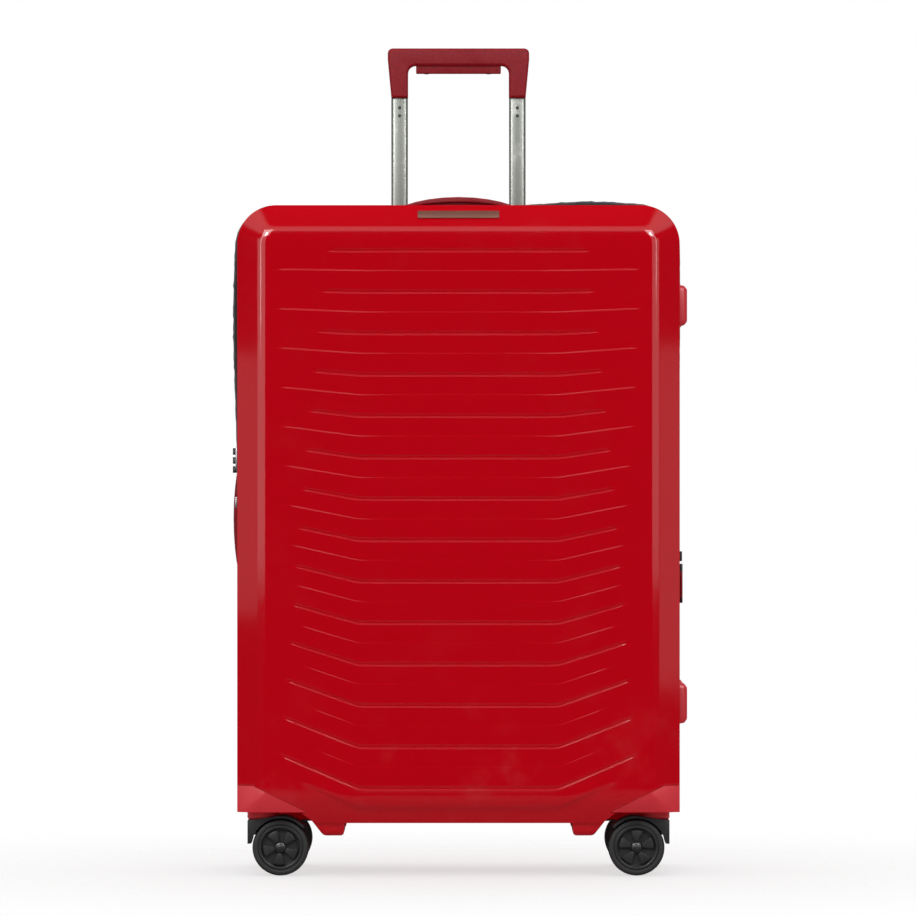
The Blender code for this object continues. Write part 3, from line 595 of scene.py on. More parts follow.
def lathe(profile, centre, axis="Z", steps=64, uv=False):
    """A (radius, distance along the axis) profile turned about an axis through centre."""
    rows = []
    for i in range(steps):
        turn = math.tau * i / steps
        cos, sin = math.cos(turn), math.sin(turn)
        row = []
        for radius, far in profile:
            local = {"Z": (radius * cos, radius * sin, far), "Y": (radius * cos, far, radius * sin)}[axis]
            row.append([c + v for c, v in zip(centre, local)])
        rows.append(row)
    return loft(rows, ring=True, closed=True, uv=uv)


def carve(obj, cutters, operation="DIFFERENCE"):
    """Cuts all the cutters from obj, or joins them to it, in one Boolean of closed forms."""
    group = bpy.data.collections.new(f"{obj.name}_tools")
    for cutter in cutters:
        group.objects.link(cutter)
    modifier = obj.modifiers.new("carve", "BOOLEAN")
    modifier.operation = operation
    modifier.solver = "MANIFOLD"
    modifier.operand_type = "COLLECTION"
    modifier.collection = group
    settled(obj)
    bpy.data.collections.remove(group)
    drop(*cutters)
    return obj


def eased(obj, width, segments=3, angle=28.0, sharp=50.0, materials=()):
    """Rounds the object's hard edges and smooths the rest."""
    modifier = obj.modifiers.new("ease", "BEVEL")
    modifier.width = width
    modifier.segments = segments
    modifier.limit_method = "ANGLE"
    modifier.angle_limit = math.radians(angle)
    modifier.use_clamp_overlap = True
    settled(obj)
    dressed_up(obj.data, materials, True, sharp)
    return obj


def copy_of(node, name, bevel, materials, segments=3, angle=28.0):
    """A finished piece from a CAD node's own shape: merged, cleaned and with its edges rounded."""
    bm = bmesh.new()
    bm.from_mesh(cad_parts[node].data)
    bmesh.ops.remove_doubles(bm, verts=bm.verts, dist=0.004 * MM)
    bmesh.ops.dissolve_limit(bm, angle_limit=math.radians(1.2), verts=bm.verts, edges=bm.edges)
    obj = put(name, mesh_of(name, bm, materials, smooth=False))
    return eased(obj, bevel, segments, angle, materials=materials)


def settle_on(obj, body, slot, *nodes):
    """Says what the piece rides on and which CAD nodes it stands for; slot, meant for its finish, is not
    used.
    """
    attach(obj, body)
    if nodes:
        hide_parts(*nodes)
    return obj


def merged(name, objs):
    """One object from several meshes, keeping each one's materials."""
    bm = bmesh.new()
    materials = []
    for obj in objs:
        part = bmesh.new()
        part.from_mesh(obj.data)
        places = []
        for item in obj.data.materials:
            if item not in materials:
                materials.append(item)
            places.append(materials.index(item))
        for face in part.faces:
            face.material_index = places[min(face.material_index, len(places) - 1)]
        held = bpy.data.meshes.new("part")
        part.to_mesh(held)
        part.free()
        bm.from_mesh(held)
        bpy.data.meshes.remove(held)
    mesh = bpy.data.meshes.new(name)
    bm.to_mesh(mesh)
    bm.free()
    for item in materials:
        mesh.materials.append(item)
    drop(*objs)
    return put(name, mesh)


# ---------------------------------------------------------------- geometry trees


def new_tree(name, sizes):
    """A geometry tree with named inputs: (name, socket kind, default)."""
    tree = bpy.data.node_groups.new(name, "GeometryNodeTree")
    tree.interface.new_socket("Geometry", in_out="INPUT", socket_type="NodeSocketGeometry")
    tree.interface.new_socket("Geometry", in_out="OUTPUT", socket_type="NodeSocketGeometry")
    for label, kind, default in sizes:
        made = tree.interface.new_socket(label, in_out="INPUT", socket_type=f"NodeSocket{kind}")
        if default is not None:
            made.default_value = default
    graph = Graph(tree)
    inputs = tree.nodes.new("NodeGroupInput")
    output = tree.nodes.new("NodeGroupOutput")
    return graph, {item.name: Flow(graph, item) for item in inputs.outputs if item.name}, output


def grown(obj, tree, values):
    """Runs the tree on obj with these named values, and keeps the result as a plain mesh."""
    modifier = obj.modifiers.new(tree.name, "NODES")
    modifier.node_group = tree
    for item in tree.interface.items_tree:
        if item.item_type == "SOCKET" and item.in_out == "INPUT" and item.name in values:
            modifier[item.identifier] = values[item.name]
    return settled(obj)


def repeat_tree():
    """Sets a small piece along a path, evenly spaced and leaning outwards, each a little its own."""
    sizes = [
        ("Piece", "Object", None),
        ("Pitch", "Float", 2 * MM),
        ("Material", "Material", None),
        ("Unevenness", "Float", 0.0),
        ("Seed", "Int", 7),
    ]
    graph, got, output = new_tree("repeat_along_path", sizes)
    curve = graph.node("GeometryNodeMeshToCurve", None, {0: got["Geometry"]})
    inputs = {"Curve": curve, "Length": got["Pitch"]}
    even = graph.node("GeometryNodeResampleCurve", {"mode": "LENGTH"}, inputs)
    tangent = graph.node("GeometryNodeInputTangent")
    kind = {"data_type": "FLOAT_VECTOR"}
    outward = graph.node("GeometryNodeInputNamedAttribute", kind, {"Name": "outward"})
    first = graph.node("FunctionNodeAlignRotationToVector", {"axis": "X"}, {"Vector": tangent})
    inputs = {"Rotation": first, "Vector": outward}
    turned = graph.node("FunctionNodeAlignRotationToVector", {"axis": "Z", "pivot_axis": "X"}, inputs)
    piece = graph.node(
        "GeometryNodeObjectInfo", {"transform_space": "ORIGINAL"}, {"Object": got["Piece"]}
    )
    spread = 1.0 + got["Unevenness"]
    size = graph.node(
        "FunctionNodeRandomValue", {"data_type": "FLOAT"}, {
            2: 2.0 - spread, 3: spread, "Seed": got["Seed"]
        }
    ).of(1)
    inputs = {"Points": even, "Instance": piece.of("Geometry"), "Rotation": turned, "Scale": size}
    placed = graph.node("GeometryNodeInstanceOnPoints", None, inputs)
    real = graph.node("GeometryNodeRealizeInstances", None, {0: placed})
    done = graph.node("GeometryNodeSetMaterial", None, {"Geometry": real, "Material": got["Material"]})
    graph.feed(output.inputs[0], done)
    return graph.tree


def path_mesh(name, points, outwards, closed=False):
    """A path of edges that carries an outward direction at each point."""
    mesh = bpy.data.meshes.new(name)
    count = len(points)
    edges = [(i, (i + 1) % count) for i in range(count if closed else count - 1)]
    mesh.from_pydata([tuple(p) for p in points], edges, [])
    held = mesh.attributes.new("outward", "FLOAT_VECTOR", "POINT")
    held.data.foreach_set("vector", [c for out in outwards for c in out])
    return put(name, mesh)


def along(name, points, outwards, piece, pitch, material, closed=False, unevenness=0.0, seed=7):
    """A row of copies of piece along the path, as one mesh."""
    obj = path_mesh(name, points, outwards, closed)
    values = {
        "Piece": piece, "Pitch": pitch, "Material": material, "Unevenness": unevenness, "Seed": seed
    }
    grown(obj, TREES["repeat"], values)
    obj.data.shade_smooth()
    obj.data.set_sharp_from_angle(angle=math.radians(40))
    return obj


def spoke_tree():
    """Copies a spoke round the wheel's axle and adds them to the wheel."""
    sizes = [
        ("Spoke", "Object", None),
        ("Count", "Int", 5),
        ("Material", "Material", None),
        ("Start", "Float", 0.0),
    ]
    graph, got, output = new_tree("spokes_round_axle", sizes)
    points = graph.node("GeometryNodePoints", None, {"Count": got["Count"]})
    index = graph.node("GeometryNodeInputIndex")
    turn = got["Start"] + index * math.tau / got["Count"]
    rotation = graph.joined(0.0, turn, 0.0)
    spoke = graph.node(
        "GeometryNodeObjectInfo", {"transform_space": "ORIGINAL"}, {"Object": got["Spoke"]}
    )
    inputs = {"Points": points, "Instance": spoke.of("Geometry"), "Rotation": rotation}
    placed = graph.node("GeometryNodeInstanceOnPoints", None, inputs)
    real = graph.node("GeometryNodeRealizeInstances", None, {0: placed})
    done = graph.node("GeometryNodeSetMaterial", None, {"Geometry": real, "Material": got["Material"]})
    both = graph.tree.nodes.new("GeometryNodeJoinGeometry")
    graph.feed(both.inputs[0], done)
    graph.feed(both.inputs[0], got["Geometry"])
    graph.feed(output.inputs[0], both.outputs[0])
    return graph.tree


def rib_tree():
    """Moulds a half's face: rounded grooves and soft steps by turns, all fading before the edges."""
    sizes = [
        ("Pitch", "Float", 42.65 * MM),
        ("First", "Float", 645.8 * MM),
        ("Grooves", "Float", 14.0),
        ("Groove width", "Float", 4.2 * MM),
        ("Groove depth", "Float", 0.95 * MM),
        ("Step height", "Float", 0.75 * MM),
        ("Facing", "Float", -1.0),
        ("Material", "Material", None),
    ]
    graph, got, output = new_tree("moulded_ribs", sizes)
    row = graph.node("GeometryNodeInputNamedAttribute", {"data_type": "FLOAT"}, {"Name": "row"})
    flat = graph.node("GeometryNodeInputNamedAttribute", {"data_type": "FLOAT"}, {"Name": "flat"})
    out = abs(graph.split(graph.node("GeometryNodeInputPosition"))[0])

    def numbered(start):
        """The nearest rib's number, counted down from start, and the distance below it."""
        share = (start - row) / got["Pitch"]
        number = graph.math("ROUND", share)
        return number, (share - number) * got["Pitch"]

    number, below = numbered(got["First"])
    past = graph.ramp(number, got["Grooves"] - 0.6, got["Grooves"] - 0.4)
    inside = graph.ramp(number, -0.6, -0.4) * (1.0 - past)
    end = 132 * MM + number * 5.0 * MM - number * number * 0.11 * MM
    fade = 1.0 - graph.ramp(out, end - 7 * MM, end + 6 * MM)
    half = got["Groove width"] / 2.0
    hollow = 1.0 - graph.ramp(abs(below), half * 0.42, half * 1.04)
    beyond = graph.ramp(abs(below), half * 1.25, half * 1.9)
    lip = graph.ramp(abs(below), half * 0.9, half * 1.2) * (1.0 - beyond)
    groove = inside * fade * (hollow * got["Groove depth"] - lip * 0.10 * MM)

    number, below = numbered(got["First"] - got["Pitch"] * STEP_SHARE)
    last = got["Grooves"] - 1.0
    inside = graph.ramp(number, -0.6, -0.4) * (1.0 - graph.ramp(number, last - 0.6, last - 0.4))
    end = 183 * MM - number * number * 0.28 * MM
    fade = 1.0 - graph.ramp(out, end - 8 * MM, end + 8 * MM)
    swell = graph.ramp(below, -0.9 * MM, 0.7 * MM) * (1.0 - graph.ramp(below, 1.0 * MM, 8.0 * MM))
    keen = 0.45 + graph.ramp(out, 60 * MM, 160 * MM) * 0.75
    weaker = 1.0 - number / 26.0
    step = inside * fade * weaker * keen * swell * got["Step height"]

    sunk = (groove - step) * flat
    offset = graph.joined(0.0, sunk * got["Facing"] * -1.0, 0.0)
    moved = graph.node("GeometryNodeSetPosition", None, {"Geometry": got["Geometry"], "Offset": offset})
    done = graph.node("GeometryNodeSetMaterial", None, {"Geometry": moved, "Material": got["Material"]})
    graph.feed(output.inputs[0], done)
    return graph.tree


# ---------------------------------------------------------------- the two halves

LEVELS = (0, 0.7, 2, 4, 7, 11, 15, 18, 20, 21.5, 23, 24.5, 26, 27.5, 29.5, 32, 36, 40)
EDGE_LEVELS = [v * MM for v in LEVELS]


def edge_drop(d):
    """How far the skin falls back at distance d inside the outline: a flat bevel, then a soft roll."""

    def raw(distance):
        u = (25.6 * MM - distance) * 0.80
        return 0.5 * (u + math.sqrt(u * u + (4.2 * MM) ** 2))

    low, high = raw(46 * MM), raw(0.0)
    return max(0.0, (raw(d) - low) / (high - low)) * EDGE_DEPTH


def columns():
    half = [HALF_WIDTH - d for d in EDGE_LEVELS]
    x = half[-1] - 4.5 * MM
    while x > 112 * MM:
        half.append(x)
        x -= 4.5 * MM
    half += [v * MM for v in (109, 107, 105, 103.5, 102, 100.5, 99, 97, 94, 84, 70, 56, 42, 28, 14)]
    return [-x for x in half] + [0.0] + half[::-1]


def rows_of(settings):
    """Heights of the mesh's rows at the middle of the case: close together where the ribs turn."""
    found = {CASE_TOP - d for d in EDGE_LEVELS}
    found |= {CASE_BOTTOM + v * MM for v in (0, 0.3, 0.8, 1.4, 2.1, 3, 4, 5.2, 6.6, 8, 9.4, 10.6, 11.6)}
    found |= {CASE_BOTTOM + v * MM for v in (12.4, 13, 13.6, 14.2, 14.8, 15.4, 16, 16.8)}
    found |= {CASE_BOTTOM + v * MM for v in (18, 20, 22.5, 25, 27.5, 30)}
    for number in range(settings.grooves):
        middle = settings.first - number * settings.pitch
        found |= {middle + v * MM for v in (-4.8, -3.6, -3.0, -2.6, -2.2, -1.8, -1.4, -1.0, -0.5, 0)}
        found |= {middle - v * MM for v in (-4.8, -3.6, -3.0, -2.6, -2.2, -1.8, -1.4, -1.0, -0.5)}
        if number < settings.grooves - 1:
            step = middle - settings.pitch * STEP_SHARE
            found |= {step + v * MM for v in (7, 5.5, 4, 2.8, 1.6, 0.6, 0)}
            found |= {step - v * MM for v in (0.3, 0.6, 0.9, 1.2, 1.5, 2.2)}
            found |= {(middle + step) / 2 + 1 * MM, (middle + step) / 2 - settings.pitch / 2}
    ordered = sorted(v for v in found if CASE_BOTTOM <= v <= CASE_TOP)
    kept = [ordered[0]]
    for value in ordered[1:]:
        if value - kept[-1] > 0.18 * MM:
            kept.append(value)
    kept[-1] = CASE_TOP
    return kept


def rib_rise(row, out, settings):
    """How far a row has climbed at half width out: level in the middle, sloping up beyond the bend."""
    depth = RISE_TOP - row
    if depth <= 0:
        return 0.0
    slope = settings.rise * (depth / RISE_SPAN) ** 1.15
    over = out - settings.bend
    soft = 0.5 * (over + math.sqrt(over * over + (3.5 * MM) ** 2))
    past = max(0.0, soft - 88 * MM)
    climbed = soft - past + past / (1 + past / (9 * MM))
    if row < LOW_BAND:
        slope *= (row - CASE_BOTTOM) / (LOW_BAND - CASE_BOTTOM)
    return slope * climbed


def corner_moved(x, z):
    """Squeezes a point of the square-cornered sheet into the round-cornered outline."""
    for radius, upper in ((UPPER_R, True), (LOWER_R, False)):
        centre_z = CASE_TOP - radius if upper else CASE_BOTTOM + radius
        p = (abs(x) - (HALF_WIDTH - radius)) / radius
        q = (z - centre_z) / radius * (1 if upper else -1)
        if p > 0 and q > 0:
            far = max(p, q)
            turn = (q / p if p >= q else 2 - p / q) * math.pi / 4
            x = math.copysign(HALF_WIDTH - radius + radius * far * math.cos(turn), x)
            z = centre_z + radius * far * math.sin(turn) * (1 if upper else -1)
    return x, z


def inside_by(x, z):
    """The distance from the round-cornered outline."""
    radius = UPPER_R if z > CASE_MIDDLE else LOWER_R
    dx = HALF_WIDTH - abs(x)
    dz = min(CASE_TOP - z, z - CASE_BOTTOM)
    if dx < radius and dz < radius:
        return max(0.0, radius - math.hypot(radius - dx, radius - dz))
    return max(0.0, min(dx, dz))


def crease(row, out):
    """The fold above the lower band: the skin swells, then tucks in sharply, fading towards the wheels."""

    def smooth(value, low, high):
        share = min(1.0, max(0.0, (value - low) / (high - low)))
        return share * share * (3 - 2 * share)

    fade = 1 - smooth(out, 128 * MM, 168 * MM)
    swell = smooth(-row, -88 * MM, -74 * MM) * (1 - smooth(-row, -74 * MM, -66.5 * MM))
    tuck = smooth(-row, -73.5 * MM, -67 * MM) * (1 - smooth(-row, -66 * MM, -57 * MM))
    return fade * (tuck * 1.9 * MM - swell * 1.5 * MM)


def outer_form(name, side, rim, settings, material):
    """The closed outer form of a half, ribs moulded in by the tree."""
    bm = bmesh.new()
    row_of, flat_of = bm.verts.layers.float.new("row"), bm.verts.layers.float.new("flat")
    grid = []
    for row in rows_of(settings):
        line = []
        for x in columns():
            px, pz = corner_moved(x, row + rib_rise(row, abs(x), settings))
            inner = inside_by(px, pz)
            depth = FACE_DEPTH - edge_drop(inner) - crease(row, abs(px))
            vert = bm.verts.new((px, side * depth, pz))
            vert[row_of] = row
            vert[flat_of] = min(1.0, max(0.0, (inner - 10 * MM) / (12 * MM)))
            line.append(vert)
        grid.append(line)
    for low, high in zip(grid, grid[1:]):
        for i in range(len(low) - 1):
            bm.faces.new((low[i], low[i + 1], high[i + 1], high[i]))
    border = grid[0] + [line[-1] for line in grid[1:-1]]
    border += grid[-1][::-1] + [line[0] for line in grid[-2:0:-1]]
    start = FACE_DEPTH - EDGE_DEPTH
    end = abs(rim)
    for far in (start - 2 * MM, start - 9 * MM, (start + end) / 2, end + 5 * MM, end):
        y = rim if far == end else math.copysign(far, side)
        ring = [bm.verts.new((vert.co.x, y, vert.co.z)) for vert in border]
        count = len(ring)
        for i in range(count):
            j = (i + 1) % count
            bm.faces.new((border[i], border[j], ring[j], ring[i]))
        border = ring
    bm.faces.new(border)
    obj = put(name, mesh_of(name, bm, smooth=False))
    values = {
        "Pitch": settings.pitch,
        "First": settings.first,
        "Grooves": float(settings.grooves),
        "Groove width": settings.groove_width,
        "Groove depth": settings.groove_depth,
        "Step height": settings.step_height,
        "Facing": float(side),
        "Material": material,
    }
    return grown(obj, TREES["ribs"], values)


def case_form(name, side, rim, inset, depth=None, steps=8):
    """A plain solid lying inset inside a half's skin, open-mouthed past the rim."""
    depth = FACE_DEPTH - inset if depth is None else depth
    rows = []
    bend = 0.4 * inset
    roll = 4 * MM
    for y, drawn in (
        (rim, inset),
        (side * (depth - EDGE_DEPTH), inset),
        (side * (depth - roll), inset + EDGE_IN - roll - bend),
        (side * depth, inset + EDGE_IN + roll - bend),
    ):
        half_height = (CASE_TOP - CASE_BOTTOM) / 2 - drawn
        high, low = max(UPPER_R - drawn, 8 * MM), max(LOWER_R - drawn, 4 * MM)
        outline = round_box(HALF_WIDTH - drawn, half_height, high, steps, (0, CASE_MIDDLE), low)
        rows.append([(x, y, z) for x, z in outline])
    return put(name, mesh_of(name, loft(rows), smooth=False))


def spread(sx, low, high):
    return sorted((sx * low * MM, sx * high * MM))


def housing(name, sx, side, grow=0.0):
    """The block that closes the wheel housing off from the inside."""
    xs, ys = spread(sx, 133 - grow, 250), spread(side, 33 - grow, 160)
    return block(name, (xs[0], ys[0], 20 * MM), (xs[1], ys[1], (100 + grow) * MM))


def well(name, sx, side):
    outline = [(240, 30), (136, 30), (140.5, 45), (151, 56.6), (163, 66), (240, 66)]
    ys = spread(side, 38, 150)
    return prism(name, [(sx * x * MM, z * MM) for x, z in outline], ys)


def signed_volume(mesh):
    """The volume inside the mesh, below zero when its faces look inwards."""
    bm = bmesh.new()
    bm.from_mesh(mesh)
    volume = bm.calc_volume(signed=True)
    bm.free()
    return volume


def guard_space(name, sx, side, grow):
    """The corner block a guard is let into, low at its inner ends."""
    bm = bmesh.new()
    bmesh.ops.create_cube(bm, size=1)
    low = (158 * MM - grow, 40 * MM - grow, WELL_TOP - 2 * grow)
    high = (240 * MM, 150 * MM, GUARD_TOP + grow)
    for vert in bm.verts:
        vert.co = [low[i] if vert.co[i] < 0 else high[i] for i in range(3)]
    planes = (
        (Vector((158 * MM, 0, 67 * MM)), Vector((-25, 0, 51)).normalized()),
        (Vector((0, 40 * MM, 67 * MM)), Vector((0, -25, 60)).normalized()),
    )
    for start, normal in planes:
        everything = bm.verts[:] + bm.edges[:] + bm.faces[:]
        made = bmesh.ops.bisect_plane(
            bm, geom=everything, plane_co=start + normal * grow, plane_no=normal, clear_outer=True
        )
        cut = [item for item in made["geom_cut"] if isinstance(item, bmesh.types.BMEdge)]
        bmesh.ops.edgeloop_fill(bm, edges=cut)
    for vert in bm.verts:
        vert.co.x *= sx
        vert.co.y *= side
    mesh = mesh_of(name, bm, smooth=False)
    if signed_volume(mesh) < 0:
        mesh.flip_normals()
    return put(name, mesh)


def skid(name, sx, side):
    """A skid moulded under the case beside the wheel well, with rounded ends."""
    rows = []
    sole = 41.2
    outline = [(118, 56), (118, 45.5), (118.8, 42.8), (121, sole)]
    outline += [(137, sole), (139.8, 42.0), (142.0, 44.5), (151, 56)]
    for y, lift in ((52, 7), (53, 4), (56, 1.2), (60, 0), (110, 0), (114, 1.2), (117, 4), (118, 7)):
        rows.append([(sx * x * MM, side * y * MM, max(z, sole + lift) * MM) for x, z in outline])
    return put(name, mesh_of(name, loft(rows), smooth=False))


def shell(name, side, rim, settings, material, holes=()):
    """One moulded half: the ribbed skin, its wheel housings, recesses and openings."""
    body = outer_form(name, side, rim, settings, material)
    cavity = case_form(f"{name}_cavity", side, rim - side * 6 * MM, WALL)
    carve(cavity, [housing(f"{name}_housing_{sx}", sx, side) for sx in (-1, 1)])
    tools = [cavity]
    for sx in (-1, 1):
        recess = guard_space(f"{name}_recess_{sx}", sx, side, GAP)
        core = case_form(f"{name}_core_{sx}", side, side * 30 * MM, 2 * MM + GAP)
        below = block(f"{name}_below_{sx}", (-0.3, -0.3, 0), (0.3, 0.3, WELL_TOP + 3.5 * MM + GAP))
        carve(core, [below])
        carve(recess, [core])
        tools += [recess, well(f"{name}_well_{sx}", sx, side)]
    more = 0.4 * MM
    for number, (low, high) in enumerate(holes):
        tools.append(block(f"{name}_hole_{number}", [v - more for v in low], [v + more for v in high]))
    carve(body, tools)
    runners = [skid(f"{name}_skid_{sx}", sx, side) for sx in (-1, 1)]
    carve(body, runners, "UNION")
    body.data.materials.clear()
    body.data.materials.append(material)
    return eased(body, 0.35 * MM, 2, 48, 40)


def back_holes():
    """Openings for the trolley's tray, the two handles' cups and the lock."""
    under, over = 680 * MM, 710 * MM
    left, inner = -240 * MM, -215 * MM

    def through_top(node, end, edge):
        low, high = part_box(node)
        return (low[0] + end, low[1] + edge, under), (high[0] - end, high[1] - edge, over)

    side_low, side_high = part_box("side_handle_base")
    lock_low, lock_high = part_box("lock_housing")
    edge, end = 2.2 * MM, 4 * MM
    return (
        through_top("trolley_tray", 5 * MM, 2.8 * MM),
        through_top("top_handle_base", end, edge),
        ((left, side_low[1] + edge, side_low[2] + end), (inner, side_high[1] - edge, side_high[2] - end)),
        ((left, 0.0, lock_low[2] + 3 * MM), (inner, lock_high[1] - 3 * MM, lock_high[2] - 3 * MM)),
    )


# ---------------------------------------------------------------- the soft frame


def outline_of_case(step=9 * MM):
    """Points round the case as (x, z, outward x, outward z, distance), from the lower right upwards."""
    w, top, bottom = HALF_WIDTH, CASE_TOP, CASE_BOTTOM
    pieces = (
        ("line", (w, bottom + LOWER_R), (w, top - UPPER_R), (1, 0)),
        ("turn", (w - UPPER_R, top - UPPER_R), UPPER_R, 0),
        ("line", (w - UPPER_R, top), (-w + UPPER_R, top), (0, 1)),
        ("turn", (-w + UPPER_R, top - UPPER_R), UPPER_R, 90),
        ("line", (-w, top - UPPER_R), (-w, bottom + LOWER_R), (-1, 0)),
        ("turn", (-w + LOWER_R, bottom + LOWER_R), LOWER_R, 180),
        ("line", (-w + LOWER_R, bottom), (w - LOWER_R, bottom), (0, -1)),
        ("turn", (w - LOWER_R, bottom + LOWER_R), LOWER_R, 270),
    )
    points = []
    gone = 0.0
    for kind, first, second, third in pieces:
        if kind == "line":
            length = math.dist(first, second)
            count = max(1, round(length / step))
            for i in range(count):
                share = i / count
                spot = [a + (b - a) * share for a, b in zip(first, second)]
                points.append((*spot, *third, gone + length * share))
            gone += length
        else:
            length = second * math.pi / 2
            count = 14 if second > 20 * MM else 8
            for i in range(count):
                angle = math.radians(third + 90 * i / count)
                out = (math.cos(angle), math.sin(angle))
                spot = [c + second * o for c, o in zip(first, out)]
                points.append((*spot, *out, gone + length * i / count))
            gone += length
    return points


def belt(name, profile, material, step=9 * MM):
    """A strip round the case; profile gives the strip's (y, out) points at each point of the outline."""
    rows = []
    for x, z, ox, oz, gone in outline_of_case(step):
        rows.append([(x + ox * out, y, z + oz * out) for y, out in profile(x, z, gone)])
    return put(name, mesh_of(name, loft(rows, ring=True, uv=True), [material], sharp=55))


def lock_gap(near):
    """A block that clears the soft frame away for the lock, from near backwards."""
    return block("lock_gap", (-241 * MM, near, LOCK_LOW), (-204 * MM, 43 * MM, LOCK_HIGH))


def hump(value, middle, half):
    share = (value - middle) / half
    return math.exp(-share * share) if abs(share) < 3 else 0.0


def swelling(x, z):
    """Where the band's cloth swells out between its zips: up the left and over the top's right."""
    share = 0.10
    if x < -0.2:
        share += hump(z, 0.575, 0.105) * 0.70
    if z > CASE_TOP - 6 * MM:
        share += hump(x, 0.138, 0.056) * 0.72
    if x > 0.2:
        share += hump(z, 0.60, 0.07) * 0.10
    return min(share, 1.1)


def band_profile(settings):
    low, high = BAND_LOW[1], BAND_HIGH[1]
    wide = high - low

    def profile(x, z, gone):
        swell = swelling(x, z) * settings.bulge
        outer, inner = [], []
        for i in range(13):
            share = i / 12
            crown = math.sin(math.pi * share)
            crown = crown ** 0.55 if crown > 0 else 0.0
            fold = math.sin(gone * 410 + share * 5) * math.sin(gone * 173 + 1.3) * 0.32 * MM
            fold += math.sin(gone * 960 + share * 9) * 0.10 * MM
            tuck = hump(share, 0.33, 0.10) * 0.5 * MM
            slack = fold * (0.25 + swell / (4 * MM)) - tuck
            out = PROUD - 1.2 * MM + crown * (1.2 * MM + swell) + crown * slack
            outer.append((low + wide * share, out))
            inner.append((low + wide * min(max(share, 0.06), 0.94), min(out, PROUD + swell) - 1.0 * MM))
        foot = -4.1 * MM
        outer += [(high, foot), (high - 0.8 * MM, foot)]
        return outer + inner[::-1] + [(low + 0.8 * MM, foot), (low, foot)]

    return profile


def tape_profile(shell_side, free_side, lip):
    """A zip tape: a corded seam against the shell, a ribbed flat and a sewn lip inside the shell."""
    inner = -(WALL + 0.25 * MM)
    turn = 1 if free_side > shell_side else -1

    def profile(*_):
        wide = abs(free_side - shell_side) / MM
        cord = [(0.0, 0.6), (0.0, 1.6), (0.25, 2.2), (0.8, 2.5), (1.4, 2.35), (1.8, 1.9), (2.2, 1.55)]
        flat = [(3.0, 1.6), (wide - 1.6, 1.6), (wide - 0.6, 1.5), (wide - 0.15, 1.2), (wide, 0.8)]
        points = [(shell_side + turn * far * MM, out * MM) for far, out in cord + flat]
        inside = inner - 1.2 * MM
        points += [(free_side, inside), (lip, inside), (lip, inner), (shell_side, inner)]
        return points

    return profile


def gusset_profile():
    """The expansion gusset, folded flat in pleats inside the case."""
    low, high = (corner[1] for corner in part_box("expansion_gusset"))

    def profile(*_):
        outer, inner = [], []
        for i in range(7):
            y = low + (high - low) * i / 6
            deep = 5.0 * MM if i % 2 == 0 else 10.4 * MM
            outer.append((y - 0.3 * MM, -deep))
            inner.append((y + 0.3 * MM, -deep - 0.5 * MM))
        return outer + inner[::-1]

    return profile


def stretch_of_outline(test, out, y, step=3 * MM):
    """Runs of outline points that pass the test, each as (points, outward directions)."""

    def placed(run):
        points = [(x + ox * out, y, z + oz * out) for x, z, ox, oz, _ in run]
        return points, [(ox, 0, oz) for _, _, ox, oz, _ in run]

    ring = outline_of_case(step)
    good = [test(x, z) for x, z, *_ in ring]
    if all(good):
        return [placed(ring)]
    start = next(i for i in range(len(ring)) if good[i] and not good[i - 1])
    runs, now = [], []
    for k in range(len(ring) + 1):
        i = (start + k) % len(ring)
        if good[i] and k < len(ring):
            now.append(ring[i])
        elif now:
            runs.append(now)
            now = []
    return [placed(run) for run in runs]


def tooth(side):
    """One zip tooth: a neck, and a rounded head that reaches to its mate; X along the zip, Z outwards."""
    section = ((-1, 0), (1, 0), (1, 0.8), (0.6, 1.1), (-0.6, 1.1), (-1, 0.8))
    neck = ((0.0, 0.42, 0.50), (0.9, 0.38, 0.50))
    head = ((1.15, 0.56, 0.56), (1.65, 0.56, 0.56), (1.9, 0.36, 0.40))
    rows = []
    for y, half, tall in neck + head:
        rows.append([(half * MM * u, side * y * MM, tall * MM * v) for u, v in section])
    return put("tooth", mesh_of("tooth", loft(rows), sharp=50))


def stitch(length=2.6 * MM, radius=0.26 * MM):
    """One stitch: a short thread that dives into the cloth at both ends."""
    rows = []
    angles = [math.tau * k / 7 for k in range(7)]
    for i in range(7):
        share = i / 6
        x = (share - 0.5) * length
        z = radius * (math.sin(math.pi * share) * 1.5 - 0.6)
        rows.append([(x, radius * math.cos(a), z + radius * math.sin(a)) for a in angles])
    return put("stitch", mesh_of("stitch", loft(rows), sharp=60))


def rivet(radius):
    """A rivet set almost flush so that it runs inside the next tube, standing on Z."""
    wide = radius * 1.2
    profile = [(0.02 * MM, -0.2 * MM), (wide, -0.2 * MM), (wide, 0.03 * MM), (radius, 0.06 * MM)]
    profile += [(radius * 0.8, 0.02 * MM), (radius * 0.5, 0.05 * MM), (0.02 * MM, 0.09 * MM)]
    return put("rivet", mesh_of("rivet", lathe(profile, (0, 0, 0), "Z", 20), sharp=40))


class Shelf(dict):
    """Makes each thing the first time it is asked for, and keeps it."""

    def __init__(self, makers):
        super().__init__()
        self.makers = makers

    def __missing__(self, name):
        self[name] = self.makers[name]()
        return self[name]


def scene():
    return bpy.context.scene


